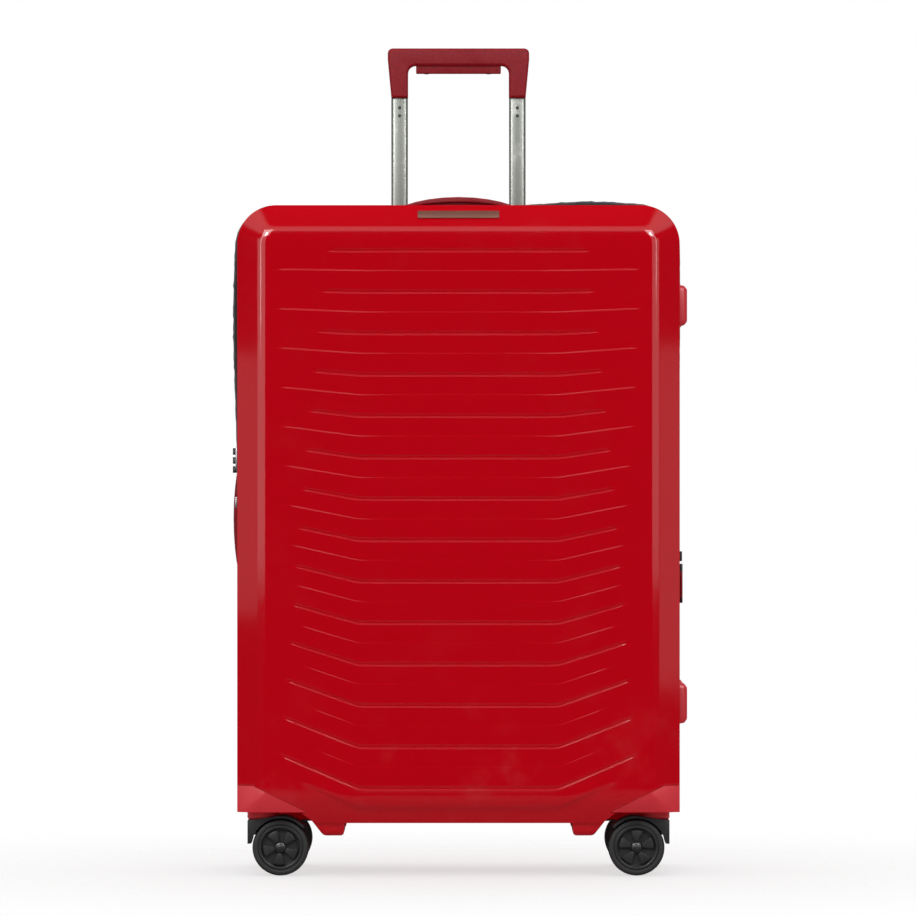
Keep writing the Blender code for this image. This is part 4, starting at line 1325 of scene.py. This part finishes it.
TREES = Shelf({"repeat": repeat_tree, "spokes": spoke_tree, "ribs": rib_tree})
FINISHES = Shelf(
    {
        "gloss": lambda: gloss_red(scene().suitcase_shell),
        "satin": lambda: satin_red(scene().suitcase_shell),
        "grip": lambda: grip_red(scene().suitcase_handles),
        "coral": coral_satin,
        "moulding": black_moulding,
        "fork": lambda: black_moulding("caster_moulding", 0.0135, 0.36),
        "hub": lambda: black_moulding("hub_moulding", 0.0165, 0.33),
        "band": lambda: woven("band_cloth", scene().suitcase_soft.fabric, 1.1 * MM, 0.35, 0.20),
        "tape": lambda: woven("tape_twill", scene().suitcase_soft.fabric, 1.0 * MM, 0.25, 0.16, 0.5),
        "strap": lambda: woven("strap_webbing", (0.014, 0.014, 0.015), 1.6 * MM, 0.3, 0.30, 1.0),
        "lining": lambda: liner_cloth(scene().suitcase_soft),
        "tube": lambda: anodised(scene().suitcase_handles),
        "tyre": lambda: tyre_rubber(scene().suitcase_casters),
        "zinc": zinc_cast,
        "teeth": nylon_teeth,
        "thread": lambda: sewing_thread("black_thread", (0.030, 0.030, 0.032)),
        "ink": number_ink,
        "floor": lambda: studio_floor(scene().suitcase_studio),
    }
)


# ---------------------------------------------------------------- casters


def wheel(name, sign, start, settings):
    """A caster wheel: a crowned rubber tyre on a moulded hub with broad spokes and a domed cap."""
    low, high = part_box(name)
    radius = (high[0] - low[0]) / 2
    width = high[1] - low[1]
    face = low[1] if sign < 0 else high[1]
    middle = ((low[0] + high[0]) / 2, face - sign * width, (low[2] + high[2]) / 2)
    r, w = radius / MM, width / MM
    tread = [(r - 6.2, 0.8), (r - 2.4, 0.3), (r - 0.9, 0.9), (r - 0.2, 2.2), (r, 4.2)]
    tread += [(r, w / 2 - 0.9), (r - 0.5, w / 2 - 0.5), (r - 0.5, w / 2 + 0.5), (r, w / 2 + 0.9)]
    tread += [(r, w - 4.2), (r - 0.2, w - 2.2), (r - 0.9, w - 0.8), (r - 2.2, w - 0.1)]
    tread += [(r - 4.6, w), (r - 5.3, w - 0.3), (r - 5.6, w - 1.3), (r - 6.2, w - 1.5)]
    rim = [(4.2, 1.0), (r - 6.25, 1.0), (r - 6.25, w - 1.5), (r - 6.0, w - 0.9), (r - 6.6, w - 0.45)]
    rim += [(r - 8.3, w - 0.45), (r - 8.9, w - 0.9), (r - 9.3, w - 4.2), (r - 9.7, w - 4.8)]
    rim += [(r - 10.6, w - 4.9), (r - 10.9, w - 5.6)]
    cap = [(6.3, w - 5.6), (5.8, w - 5.0), (5.5, w - 2.4), (5.0, w - 1.5), (3.6, w - 0.9), (3.3, w - 0.3)]
    cap += [(2.6, w + 0.1), (1.2, w + 0.3), (0.04, w + 0.35), (0.04, w - 1.3), (4.2, w - 1.3)]

    def turned(label, profile, finish):
        bm = lathe([(a * MM, sign * b * MM) for a, b in profile], (0, 0, 0), "Y", 96)
        return put(label, mesh_of(label, bm, [FINISHES[finish]], sharp=35))

    tyre = turned("tyre", tread, "tyre")
    hub = turned("hub", rim + cap, "hub")
    rows = []
    for far, drawn in ((w - 5.9, 0.0), (w - 2.5, 0.0), (w - 2.1, 0.25), (w - 1.95, 0.7)):
        outline = []
        for radius_mm, half in ((r - 11.0 - drawn, 20.0), (6.0 + drawn, 17.0)):
            half -= math.degrees(drawn / radius_mm)
            order = (-1, -0.5, 0, 0.5, 1) if radius_mm > 10 else (1, 0.5, 0, -0.5, -1)
            outline += [(radius_mm, half * k) for k in order]
        row = []
        for radius_mm, degrees in outline:
            turn = math.radians(degrees)
            row.append(
                (radius_mm * MM * math.cos(turn), sign * far * MM, radius_mm * MM * math.sin(turn))
            )
        rows.append(row)
    spoke = put("spoke", mesh_of("spoke", loft(rows), sharp=30))
    whole = merged(name + "_built", [tyre, hub])
    values = {
        "Spoke": spoke, "Count": settings.spokes, "Material": FINISHES["hub"],
        "Start": math.radians(start),
    }
    grown(whole, TREES["spokes"], values)
    whole.data.transform(Matrix.Translation(middle))
    drop(spoke)
    return settle_on(whole, name, "tyre_black", name)


def swivel_disc(name, centre, body):
    """The red disc under the guard that the fork turns on, with a fine seam round it."""
    top = WELL_TOP - 0.25 * MM
    profile = [(0.02, -8.2), (11.0, -8.2), (15.2, -7.9), (16.3, -7.2), (16.7, -6.2), (16.7, -3.6)]
    profile += [(16.3, -3.3), (16.3, -2.9), (16.7, -2.6), (16.7, -0.5), (16.3, 0)]
    profile += [(5.4, 0), (5.4, -0.6), (0.02, -0.6)]
    bm = lathe([(a * MM, top + b * MM) for a, b in profile], (centre[0], centre[1], 0), "Z", 72)
    obj = put(name, mesh_of(name, bm, [FINISHES["satin"]], sharp=40))
    return settle_on(obj, body, "satin_red")


# ---------------------------------------------------------------- lock numbers


def dial_numbers(name, dial, body):
    """Numbers 0 to 9 printed on the dial's flats, upright, readable from the case's left."""
    low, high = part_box(dial)
    axis_x = (low[0] + high[0]) / 2
    axis_y = (low[1] + high[1]) / 2
    middle_z = (low[2] + high[2]) / 2
    radius = (high[1] - low[1]) / 2 * math.cos(0.22) + 0.06 * MM
    bm = bmesh.new()
    for number in range(10):
        text = bpy.data.curves.new(f"number_{number}", "FONT")
        text.body = str(number)
        text.size = 4.0 * MM
        text.align_x = "CENTER"
        text.align_y = "CENTER"
        text.extrude = 0.03 * MM
        text.resolution_u = 3
        helper = put("number", text)
        bpy.context.view_layer.update()
        mesh = bpy.data.meshes.new_from_object(
            helper.evaluated_get(bpy.context.evaluated_depsgraph_get())
        )
        bpy.data.objects.remove(helper, do_unlink=True)
        turn = Matrix.Rotation(math.tau * (number + 5) / 10, 4, "Z")
        stand = Matrix(((0, 0, 1, radius), (1, 0, 0, 0), (0, 1, 0, 0), (0, 0, 0, 1)))
        mesh.transform(Matrix.Translation((axis_x, axis_y, middle_z)) @ turn @ stand)
        bm.from_mesh(mesh)
        bpy.data.meshes.remove(mesh)
    obj = put(name, mesh_of(name, bm, [FINISHES["ink"]], smooth=False))
    return settle_on(obj, body, "black_plastic")


# ---------------------------------------------------------------- liners and straps

POCKETS = (
    ((-73, 33, 670), (73, 67, 720)),
    ((-240, 49, 295), (-205, 83, 441)),
    ((-240, 4, 388), (-205, 44, 476)),
)
CLOTH = 1.0 * MM


def liner(name, side, rim, floor):
    """A thin cloth liner that steps round the wheel housings, and round the fittings in the back half."""
    skins = []
    for number in range(2):
        inset = WALL + 0.5 * MM + number * CLOTH
        depth = floor and floor - number * CLOTH
        mouth = rim + side * (4 - 6 * number) * MM
        skin = case_form(f"{name}_skin_{number}", side, mouth, inset, depth, 10)
        grow = 0.8 * MM + CLOTH * number
        boxes = []
        for sx in (-1, 1):
            xs = sorted((sx * (133 * MM - grow), sx * 0.3))
            ys = sorted((side * (33 * MM - grow), side * 0.3))
            boxes.append(block("housing", (xs[0], ys[0], 0), (xs[1], ys[1], 100 * MM + grow)))
        if side > 0:
            for low, high in POCKETS:
                boxes.append(block("pocket", [v * MM - grow for v in low], [v * MM + grow for v in high]))
        skins.append(carve(skin, boxes))
    cloth = carve(skins[0], [skins[1]])
    cloth.name = name
    return eased(cloth, 0.45 * MM, 2, 40, 60, [FINISHES["lining"]])


def strap(name, node, sign):
    """Elastic webbing drawn diagonally over the liner."""
    low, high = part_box(node)
    width = 25 * MM
    middle = Vector(((low[0] + high[0]) / 2, 0, (low[2] + high[2]) / 2))
    reach = Vector((sign * 128 * MM, 0, 200 * MM))
    across = reach.cross(Vector((0, 1, 0))).normalized()
    thick = 1.3 * MM
    section = [(-1, 0.35), (-0.97, 0.0), (0, 0.0), (0.97, 0.0), (1, 0.35)]
    section += [(1, 0.75), (0.97, 1.0), (0, 1.0), (-0.97, 1.0), (-1, 0.75)]
    rows = []
    count = 60
    for i in range(count + 1):
        share = i / count * 2 - 1
        spot = middle + reach * share
        bow = 0.25 * MM * math.cos(share * math.pi / 2) + 0.06 * MM * math.sin(share * 40)
        y = high[1] - 0.1 * MM - bow
        outline = []
        for u, lift in section:
            place = spot + across * (u * width / 2)
            outline.append((place.x, y - thick * lift, place.z))
        rows.append(outline)
    obj = put(name, mesh_of(name, loft(rows, uv=True), [FINISHES["strap"]], sharp=50))
    return settle_on(obj, "back_half", "black_fabric", node)


# ---------------------------------------------------------------- operators


class Making(bpy.types.Operator):
    """Shared ways of the operators below."""

    bl_idname = "suitcase.making"
    bl_label = "Making"
    bl_options = {"INTERNAL"}

    def execute(self, context):
        self.make(context)
        return {"FINISHED"}

    def make(self, context):
        raise RuntimeError("an operator without a piece to make")


class SUITCASE_OT_shells(Making):
    """Moulds the two ribbed gloss halves"""

    bl_idname = "suitcase.shells"
    bl_label = "Shells"

    def make(self, context):
        settings = context.scene.suitcase_shell
        front = shell("front_half_shell", -1, FRONT_RIM, settings, FINISHES["gloss"])
        settle_on(front, "front_half", "shell_red", "front_shell")
        back = shell("back_half_shell", 1, BACK_RIM, settings, FINISHES["gloss"], back_holes())
        settle_on(back, "back_half", "shell_red", "back_shell")


class SUITCASE_OT_trim(Making):
    """Adds the corner guards, the side feet and the blank name plate"""

    bl_idname = "suitcase.trim"
    bl_label = "Guards, feet and plate"

    def make(self, context):
        for corner, (_, side) in CORNERS.items():
            node = f"guard_{corner}"
            guard = copy_of(node, f"{node}_moulding", 0.8 * MM, [FINISHES["satin"]])
            settle_on(guard, "front_half" if side < 0 else "back_half", "satin_red", node)
        for half, body in HALVES.items():
            for level in ("upper", "lower"):
                node = f"side_foot_{half}_{level}"
                stud = copy_of(node, f"{node}_stud", 1.1 * MM, [FINISHES["satin"]], 4)
                settle_on(stud, body, "satin_red", node)
        plate = copy_of("name_plate", "name_plate_blank", 0.4 * MM, [FINISHES["coral"]])
        settle_on(plate, "front_half", "coral", "name_plate")


class SUITCASE_OT_soft_frame(Making):
    """Sews the zip tapes, the swelling band and the pleated gusset, with their teeth and stitches"""

    bl_idname = "suitcase.soft_frame"
    bl_label = "Soft frame"

    def make(self, context):
        settings = context.scene.suitcase_soft
        tape = FINISHES["tape"]
        back = belt("back_tape_sewn", tape_profile(BACK_RIM - GAP, 0.2 * MM, BACK_RIM + 3 * MM), tape)
        carve(back, [lock_gap(5 * MM)])
        dressed_up(back.data, [tape], True, 55)
        settle_on(back, "back_half", "black_fabric", "back_zip_tape")
        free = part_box("front_zip_tape")[1][1]
        front = belt("front_tape_sewn", tape_profile(FRONT_RIM + GAP, free, FRONT_RIM - 3 * MM), tape)
        settle_on(front, "front_half", "black_fabric", "front_zip_tape")
        band = belt("band_cloth", band_profile(settings), FINISHES["band"], 4.5 * MM)
        settle_on(band, "front_band", "black_fabric", "front_band")
        gusset = belt("gusset_pleated", gusset_profile(), FINISHES["band"])
        low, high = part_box("expansion_gusset")
        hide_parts("expansion_gusset")
        high[1] - 2 * MM
        low[1] + 2 * MM
        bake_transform(gusset)
        self.teeth(settings)
        self.stitches(settings)

    def teeth(self, settings):
        """Main zip all round but for the hinge side; expansion zip right round, on the front's side."""

        def opening(x, z):
            return x < HALF_WIDTH - 2 * MM or z < CASE_BOTTOM + 60 * MM or z > CASE_TOP - 60 * MM

        rows = (
            ("main_teeth_back", 1, 0.45 * MM, "back_half", opening),
            ("main_teeth_band", -1, -0.35 * MM, "front_band", opening),
            ("expansion_teeth_band", 1, BAND_LOW[1] + 0.25 * MM, "front_band", lambda x, z: True),
            ("expansion_teeth_front", -1, BAND_LOW[1] - 0.55 * MM, "front_half", lambda x, z: True),
        )
        for name, side, y, body, test in rows:
            piece = tooth(-side)
            runs = stretch_of_outline(test, PROUD - 0.95 * MM, y + side * 1.1 * MM)
            made = []
            for points, outs in runs:
                closed = len(runs) == 1 and len(points) > 600
                row = along(name, points, outs, piece, settings.tooth_pitch, FINISHES["teeth"], closed)
                made.append(row)
            drop(piece)
            obj = made[0] if len(made) == 1 else merged(name, made)
            settle_on(obj, body, "black_plastic")

    def stitches(self, settings):
        """A row of stitches on each half, beside its tape."""
        piece = stitch()
        pitch, thread = settings.stitch_pitch, FINISHES["thread"]
        rows = (
            ("seam_back", BACK_RIM - 4.4 * MM, 1.62 * MM, "back_half"),
            ("seam_front", FRONT_RIM + 4.0 * MM, 1.62 * MM, "front_half"),
        )
        for number, (name, y, out, body) in enumerate(rows):
            points, outs = stretch_of_outline(lambda x, z: True, out, y)[0]
            obj = along(name, points, outs, piece, pitch, thread, True, 0.06, 11 + number)
            if body == "back_half":
                carve(obj, [lock_gap(0)])
            settle_on(obj, body, "black_fabric")
        drop(piece)


class SUITCASE_OT_casters(Making):
    """Builds the four twin-wheel casters on their swivels"""

    bl_idname = "suitcase.casters"
    bl_label = "Casters"

    def make(self, context):
        settings = context.scene.suitcase_casters
        for number, corner in enumerate(CORNERS):
            body = f"caster_{corner}"
            fork = copy_of(f"{body}_fork", f"{body}_fork_moulding", 0.7 * MM, [FINISHES["fork"]], 3, 24)
            settle_on(fork, body, "black_plastic", f"{body}_fork")
            sx, sy = CORNERS[corner]
            swivel_disc(f"{body}_disc", (sx * 202 * MM, sy * 95 * MM), body)
            for end, sign in (("front", -1), ("rear", 1)):
                wheel(f"{body}_wheel_{end}", sign, 24 + 31 * number + (17 if sign > 0 else 0), settings)


class SUITCASE_OT_trolley(Making):
    """Builds the telescoping handle: tubes, rivets, guide tray, foot, grip and squeeze bar"""

    bl_idname = "suitcase.trolley"
    bl_label = "Trolley handle"

    def make(self, context):
        settings = context.scene.suitcase_handles
        piece = rivet(settings.rivet)
        for side in ("left", "right"):
            for stage, body in (
                ("outer", "back_half"), ("mid", "trolley_lower"), ("top", "trolley_upper")
            ):
                node = f"trolley_{stage}_{side}"
                tube = copy_of(node, f"{node}_tube", 0.35 * MM, [FINISHES["tube"]], 2, 40)
                settle_on(tube, body, "tube_metal", node)
            low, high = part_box(f"trolley_top_{side}")
            x = (low[0] + high[0]) / 2
            for face, out in ((low[1], -1), (high[1], 1)):
                points = [(x, face, high[2] - 19 * MM), (x, face, high[2] - 10.5 * MM)]
                name = f"trolley_rivets_{side}_{'front' if out < 0 else 'back'}"
                heads = along(name, points, [(0, out, 0)] * 2, piece, 8.0 * MM, FINISHES["moulding"])
                settle_on(heads, "trolley_upper", "black_plastic")
            rod = f"release_rod_{side}"
            steel = copy_of(rod, f"{rod}_steel", 0.3 * MM, [FINISHES["zinc"]], 2, 50)
            settle_on(steel, "grip_button", "zinc", rod)
        drop(piece)
        for node, name, body, bevel, finish, slot in (
            ("trolley_grip", "trolley_grip_soft", "trolley_upper", 1.3 * MM, "grip", "grip_red"),
            ("grip_button", "grip_squeeze_bar", "grip_button", 2.2 * MM, "grip", "grip_red"),
            ("trolley_tray", "trolley_tray_moulding", "back_half", 0.5 * MM, "moulding", "black_plastic"),
            ("trolley_foot", "trolley_foot_moulding", "back_half", 0.8 * MM, "moulding", "black_plastic"),
        ):
            settle_on(copy_of(node, name, bevel, [FINISHES[finish]], 4), body, slot, node)
        low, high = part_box("grip_button")
        profile = [(a * MM, b * MM) for a, b in ((0.02, -0.7), (2.4, -0.5), (2.7, 1.0), (0.02, 1.0))]
        for side, x in (("left", -34.0 * MM), ("right", 32.0 * MM)):
            bm = lathe(profile, (x, (low[1] + high[1]) / 2, low[2]), "Z", 24)
            name = f"grip_plug_{side}"
            plug = put(name, mesh_of(name, bm, [FINISHES["moulding"]], sharp=40))
            settle_on(plug, "grip_button", "black_plastic")


def handle_web(node):
    """The soft web that fills the top handle's arch almost down to the case."""
    low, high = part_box(node)
    middle, deep = (low[0] + high[0]) / 2, (low[1] + high[1]) / 2
    foot = CASE_TOP + 2.0 * MM
    rows = []
    for step in range(33):
        share = -1.0 + step / 16.0
        top = max(high[2] - (2.4 + 5.2 * share * share) * MM, foot + 0.6 * MM)
        half, centre = (top - foot) / 2, (top + foot) / 2
        across = round_box(5.0 * MM, half, min(half / 1.05, 1.4 * MM), 3)
        rows.append([(middle + share * 50.0 * MM, deep + u, centre + v) for u, v in across])
    return put(f"{node}_web", mesh_of(f"{node}_web", loft(rows), [FINISHES["grip"]], sharp=40))


class SUITCASE_OT_carry_handles(Making):
    """Builds the two sprung carry handles in their cups"""

    bl_idname = "suitcase.carry_handles"
    bl_label = "Carry handles"

    def make(self, context):
        for node in ("top_handle", "side_handle"):
            handle = copy_of(node, f"{node}_soft", 1.5 * MM, [FINISHES["grip"]], 4)
            settle_on(handle, node, "grip_red", node)
            base = f"{node}_base"
            cup = copy_of(base, f"{base}_cup", 0.4 * MM, [FINISHES["moulding"]])
            settle_on(cup, "back_half", "black_plastic", base)
        settle_on(handle_web("top_handle"), "top_handle", "grip_red")


class SUITCASE_OT_lock(Making):
    """Builds the combination lock with its numbered dials, catch and key"""

    bl_idname = "suitcase.lock"
    bl_label = "Combination lock"

    def make(self, context):
        housing = copy_of("lock_housing", "lock_housing_moulding", 0.6 * MM, [FINISHES["moulding"]])
        settle_on(housing, "back_half", "black_plastic", "lock_housing")
        for number in (1, 2, 3):
            node = f"lock_dial_{number}"
            ring = copy_of(node, f"{node}_ring", 0.22 * MM, [FINISHES["hub"]], 2)
            settle_on(ring, node, "black_plastic", node)
            dial_numbers(f"{node}_numbers", node, node)
        for node, body, bevel in (
            ("lock_catch", "lock_catch", 0.8), ("lock_key_barrel", "lock_key", 0.3)
        ):
            settle_on(copy_of(node, f"{node}_zinc", bevel * MM, [FINISHES["zinc"]]), body, "zinc", node)


class SUITCASE_OT_zip_pulls(Making):
    """Builds the zip sliders and their pulls"""

    bl_idname = "suitcase.zip_pulls"
    bl_label = "Zip pulls"

    def make(self, context):
        for which in ("upper", "lower"):
            node = f"zip_slider_{which}"
            slider = copy_of(node, f"{node}_cast", 0.9 * MM, [FINISHES["zinc"]], 4)
            settle_on(slider, "back_half", "zinc", node)
            node = f"zip_pull_{which}"
            pull = copy_of(node, f"{node}_cast", 0.45 * MM, [FINISHES["zinc"]], 3, 20)
            settle_on(pull, node, "zinc", node)
        slider = copy_of("expansion_slider", "expansion_slider_cast", 0.8 * MM, [FINISHES["moulding"]], 4)
        settle_on(slider, "front_band", "black_plastic", "expansion_slider")
        materials = [FINISHES["grip"], FINISHES["moulding"]]
        pull = copy_of("expansion_pull", "expansion_pull_moulded", 0.35 * MM, materials, 3, 20)
        low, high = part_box("expansion_pull")
        for face in pull.data.polygons:
            face.material_index = int(
                face.center.z > high[2] - 8 * MM or face.center.z < low[2] + 5.5 * MM
            )
        settle_on(pull, "expansion_pull", "grip_red", "expansion_pull")


class SUITCASE_OT_inside(Making):
    """Lines both halves and adds the crossed packing straps"""

    bl_idname = "suitcase.inside"
    bl_label = "Liners and straps"

    def make(self, context):
        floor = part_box("back_lining")[1][1]
        front = liner("front_liner_cloth", -1, FRONT_RIM, None)
        settle_on(front, "front_half", "lining_grey", "front_lining")
        back = liner("back_liner_cloth", 1, BACK_RIM, floor)
        settle_on(back, "back_half", "lining_grey", "back_lining")
        for node, sign in (("strap_rising", 1), ("strap_falling", -1)):
            made = strap(f"{node}_webbing", node, sign)
        clip = copy_of("strap_clip", "strap_clip_moulding", 1.0 * MM, [FINISHES["moulding"]], 4)
        settle_on(clip, "back_half", "black_plastic", "strap_clip")


class SUITCASE_OT_studio(Making):
    """Sets the floor, the soft lights, the pale room and the camera"""

    bl_idname = "suitcase.studio"
    bl_label = "Studio"

    def make(self, context):
        settings = context.scene.suitcase_studio
        self.floor()
        self.room(context.scene, settings)
        lights = (
            ("ridge_left", (-2.10, -2.15, 0.86), (2.30, 1.22), settings.ridge * 15.0, 0.45, True),
            ("ridge_right", (2.10, -2.15, 0.86), (2.10, 1.22), settings.ridge * 11.0, 0.45, True),
            ("flank_left", (-1.70, -0.50, 0.40), (0.60, 0.32), settings.flank * 0.55, 0.40, True),
            ("flank_right", (1.70, -0.50, 0.36), (0.60, 0.42), settings.flank * 0.7, 0.40, True),
            ("corner_left", (-1.35, -2.00, 2.05), (1.50, 1.30), settings.ridge * 52.0, 0.66, True),
            ("corner_right", (1.35, -2.00, 2.05), (1.30, 1.20), settings.ridge * 40.0, 0.66, True),
            ("spark_left", (-1.30, -2.10, 1.80), (0.32, 0.60), settings.ridge * 34.0, 0.66, True),
            ("spark_right", (1.30, -2.10, 1.80), (0.28, 0.50), settings.ridge * 22.0, 0.66, True),
            ("glint_left", (-2.30, -1.90, 1.10), (0.22, 1.00), settings.ridge * 6.5, 0.60, True),
            ("glint_right", (2.30, -1.90, 1.10), (0.20, 0.90), settings.ridge * 4.5, 0.60, True),
            ("ridge_back_left", (-1.90, 2.30, 0.66), (1.40, 0.82), settings.ridge * 7.0, 0.45, True),
            ("ridge_back_right", (1.90, 2.30, 0.66), (1.40, 0.82), settings.ridge * 7.0, 0.45, True),
            ("soft_front", (0.0, -2.6, 2.2), (2.4, 1.4), settings.soft, 0.52, False),
            ("soft_back", (0.0, 2.6, 2.2), (2.4, 1.4), settings.soft, 0.52, False),
            ("overhead", (0.0, 0.0, 3.0), (2.2, 2.2), settings.top, 0.40, False),
        )
        for name, at, size, power, height, mirrored in lights:
            lamp = bpy.data.lights.new(name, "AREA")
            lamp.shape = "RECTANGLE"
            lamp.size, lamp.size_y = size
            lamp.energy = power
            obj = put(name, lamp)
            aim = Vector((0, 0, height)) - Vector(at)
            obj.location = at
            obj.rotation_euler = aim.to_track_quat("-Z", "Y").to_euler()
            obj.visible_glossy = mirrored
            obj.visible_diffuse = not mirrored
        camera = bpy.data.cameras.new("camera")
        camera.lens = LENS
        camera.sensor_width = SENSOR
        obj = put("camera", camera)
        obj.location = (-0.0005, CAD_BOX[0][1] - CAMERA_AWAY, EYE_HEIGHT)
        obj.rotation_euler = (math.pi / 2, 0, 0)
        context.scene.camera = obj
        context.scene.view_settings.view_transform = "Standard"

    def floor(self):
        rows = []
        angles = [math.tau * k / 96 for k in range(96)]
        for radius in (0.02, 0.2, 0.4, 0.6, 0.8, 1.0, 1.2, 1.4):
            rows.append([(radius * math.cos(a), radius * math.sin(a), -0.4 * MM) for a in angles])
        bm = loft(rows, caps=False)
        bm.faces.new(list(bm.verts)[: len(angles)])
        obj = put("studio_floor", mesh_of("studio_floor", bm, [FINISHES["floor"]], smooth=False))
        if obj.data.polygons[0].normal.z < 0:
            obj.data.flip_normals()

    def room(self, scene, settings):
        """A white room; the gloss sees it dark but for a high window, and so the red keeps its colour."""
        world = bpy.data.worlds.new("room")
        scene.world = world
        world.use_nodes = True
        world.node_tree.nodes.clear()
        graph = Graph(world.node_tree)
        way = graph.vector("NORMALIZE", graph.node("ShaderNodeTexCoord").of("Generated"))
        _, y, z = graph.split(way)
        ahead = graph.ramp(abs(y), 0.72, 0.93)
        under = graph.ramp(z, 0.0, -0.30)
        window = graph.ramp(z, 0.46, 0.58) * (1.0 - graph.ramp(z, 0.84, 0.92))
        gloss = settings.mirrored * (1.0 - ahead * 0.8) * (1.0 - window) + window * 1.1
        path = graph.node("ShaderNodeLightPath")
        seen, mirror = path.of("Is Camera Ray"), path.of("Is Glossy Ray")
        light = settings.ambient * (1.0 - mirror) + gloss * mirror
        strength = seen + (1.0 - seen) * light * (1.10 - under * 0.15)
        background = graph.node(
            "ShaderNodeBackground", None, {"Color": (1, 1, 1, 1), "Strength": strength}
        )
        output = graph.tree.nodes.new("ShaderNodeOutputWorld")
        graph.feed(output.inputs["Surface"], background)


MAKERS = (
    SUITCASE_OT_studio,
    SUITCASE_OT_shells,
    SUITCASE_OT_trim,
    SUITCASE_OT_soft_frame,
    SUITCASE_OT_casters,
    SUITCASE_OT_trolley,
    SUITCASE_OT_carry_handles,
    SUITCASE_OT_lock,
    SUITCASE_OT_zip_pulls,
    SUITCASE_OT_inside,
)
SETTINGS = {
    "suitcase_shell": ShellSettings,
    "suitcase_soft": SoftSettings,
    "suitcase_casters": RollingSettings,
    "suitcase_handles": HandleSettings,
    "suitcase_studio": StudioSettings,
}


class SUITCASE_PT_sidebar(bpy.types.Panel):
    """Lists the settings and the pieces to make"""

    bl_idname = "SUITCASE_PT_sidebar"
    bl_label = "Suitcase"
    bl_space_type = "VIEW_3D"
    bl_region_type = "UI"
    bl_category = "Suitcase"

    def draw(self, context):
        layout = self.layout
        for name, group in SETTINGS.items():
            box = layout.box()
            box.label(text=group.__doc__.split(".")[0])
            for field in group.__annotations__:
                box.prop(getattr(context.scene, name), field)
        for maker in MAKERS:
            layout.operator(maker.bl_idname)


def register():
    for group in SETTINGS.values():
        bpy.utils.register_class(group)
    for name, group in SETTINGS.items():
        setattr(bpy.types.Scene, name, PointerProperty(type=group))
    for maker in MAKERS:
        bpy.utils.register_class(maker)
    bpy.utils.register_class(SUITCASE_PT_sidebar)


def unregister():
    bpy.utils.unregister_class(SUITCASE_PT_sidebar)
    for maker in reversed(MAKERS):
        bpy.utils.unregister_class(maker)
    for name in SETTINGS:
        delattr(bpy.types.Scene, name)
    for group in SETTINGS.values():
        bpy.utils.unregister_class(group)


def main():
    register()
    for maker in MAKERS:
        group, name = maker.bl_idname.split(".")
        getattr(getattr(bpy.ops, group), name)()


if __name__ == "__main__":
    main()
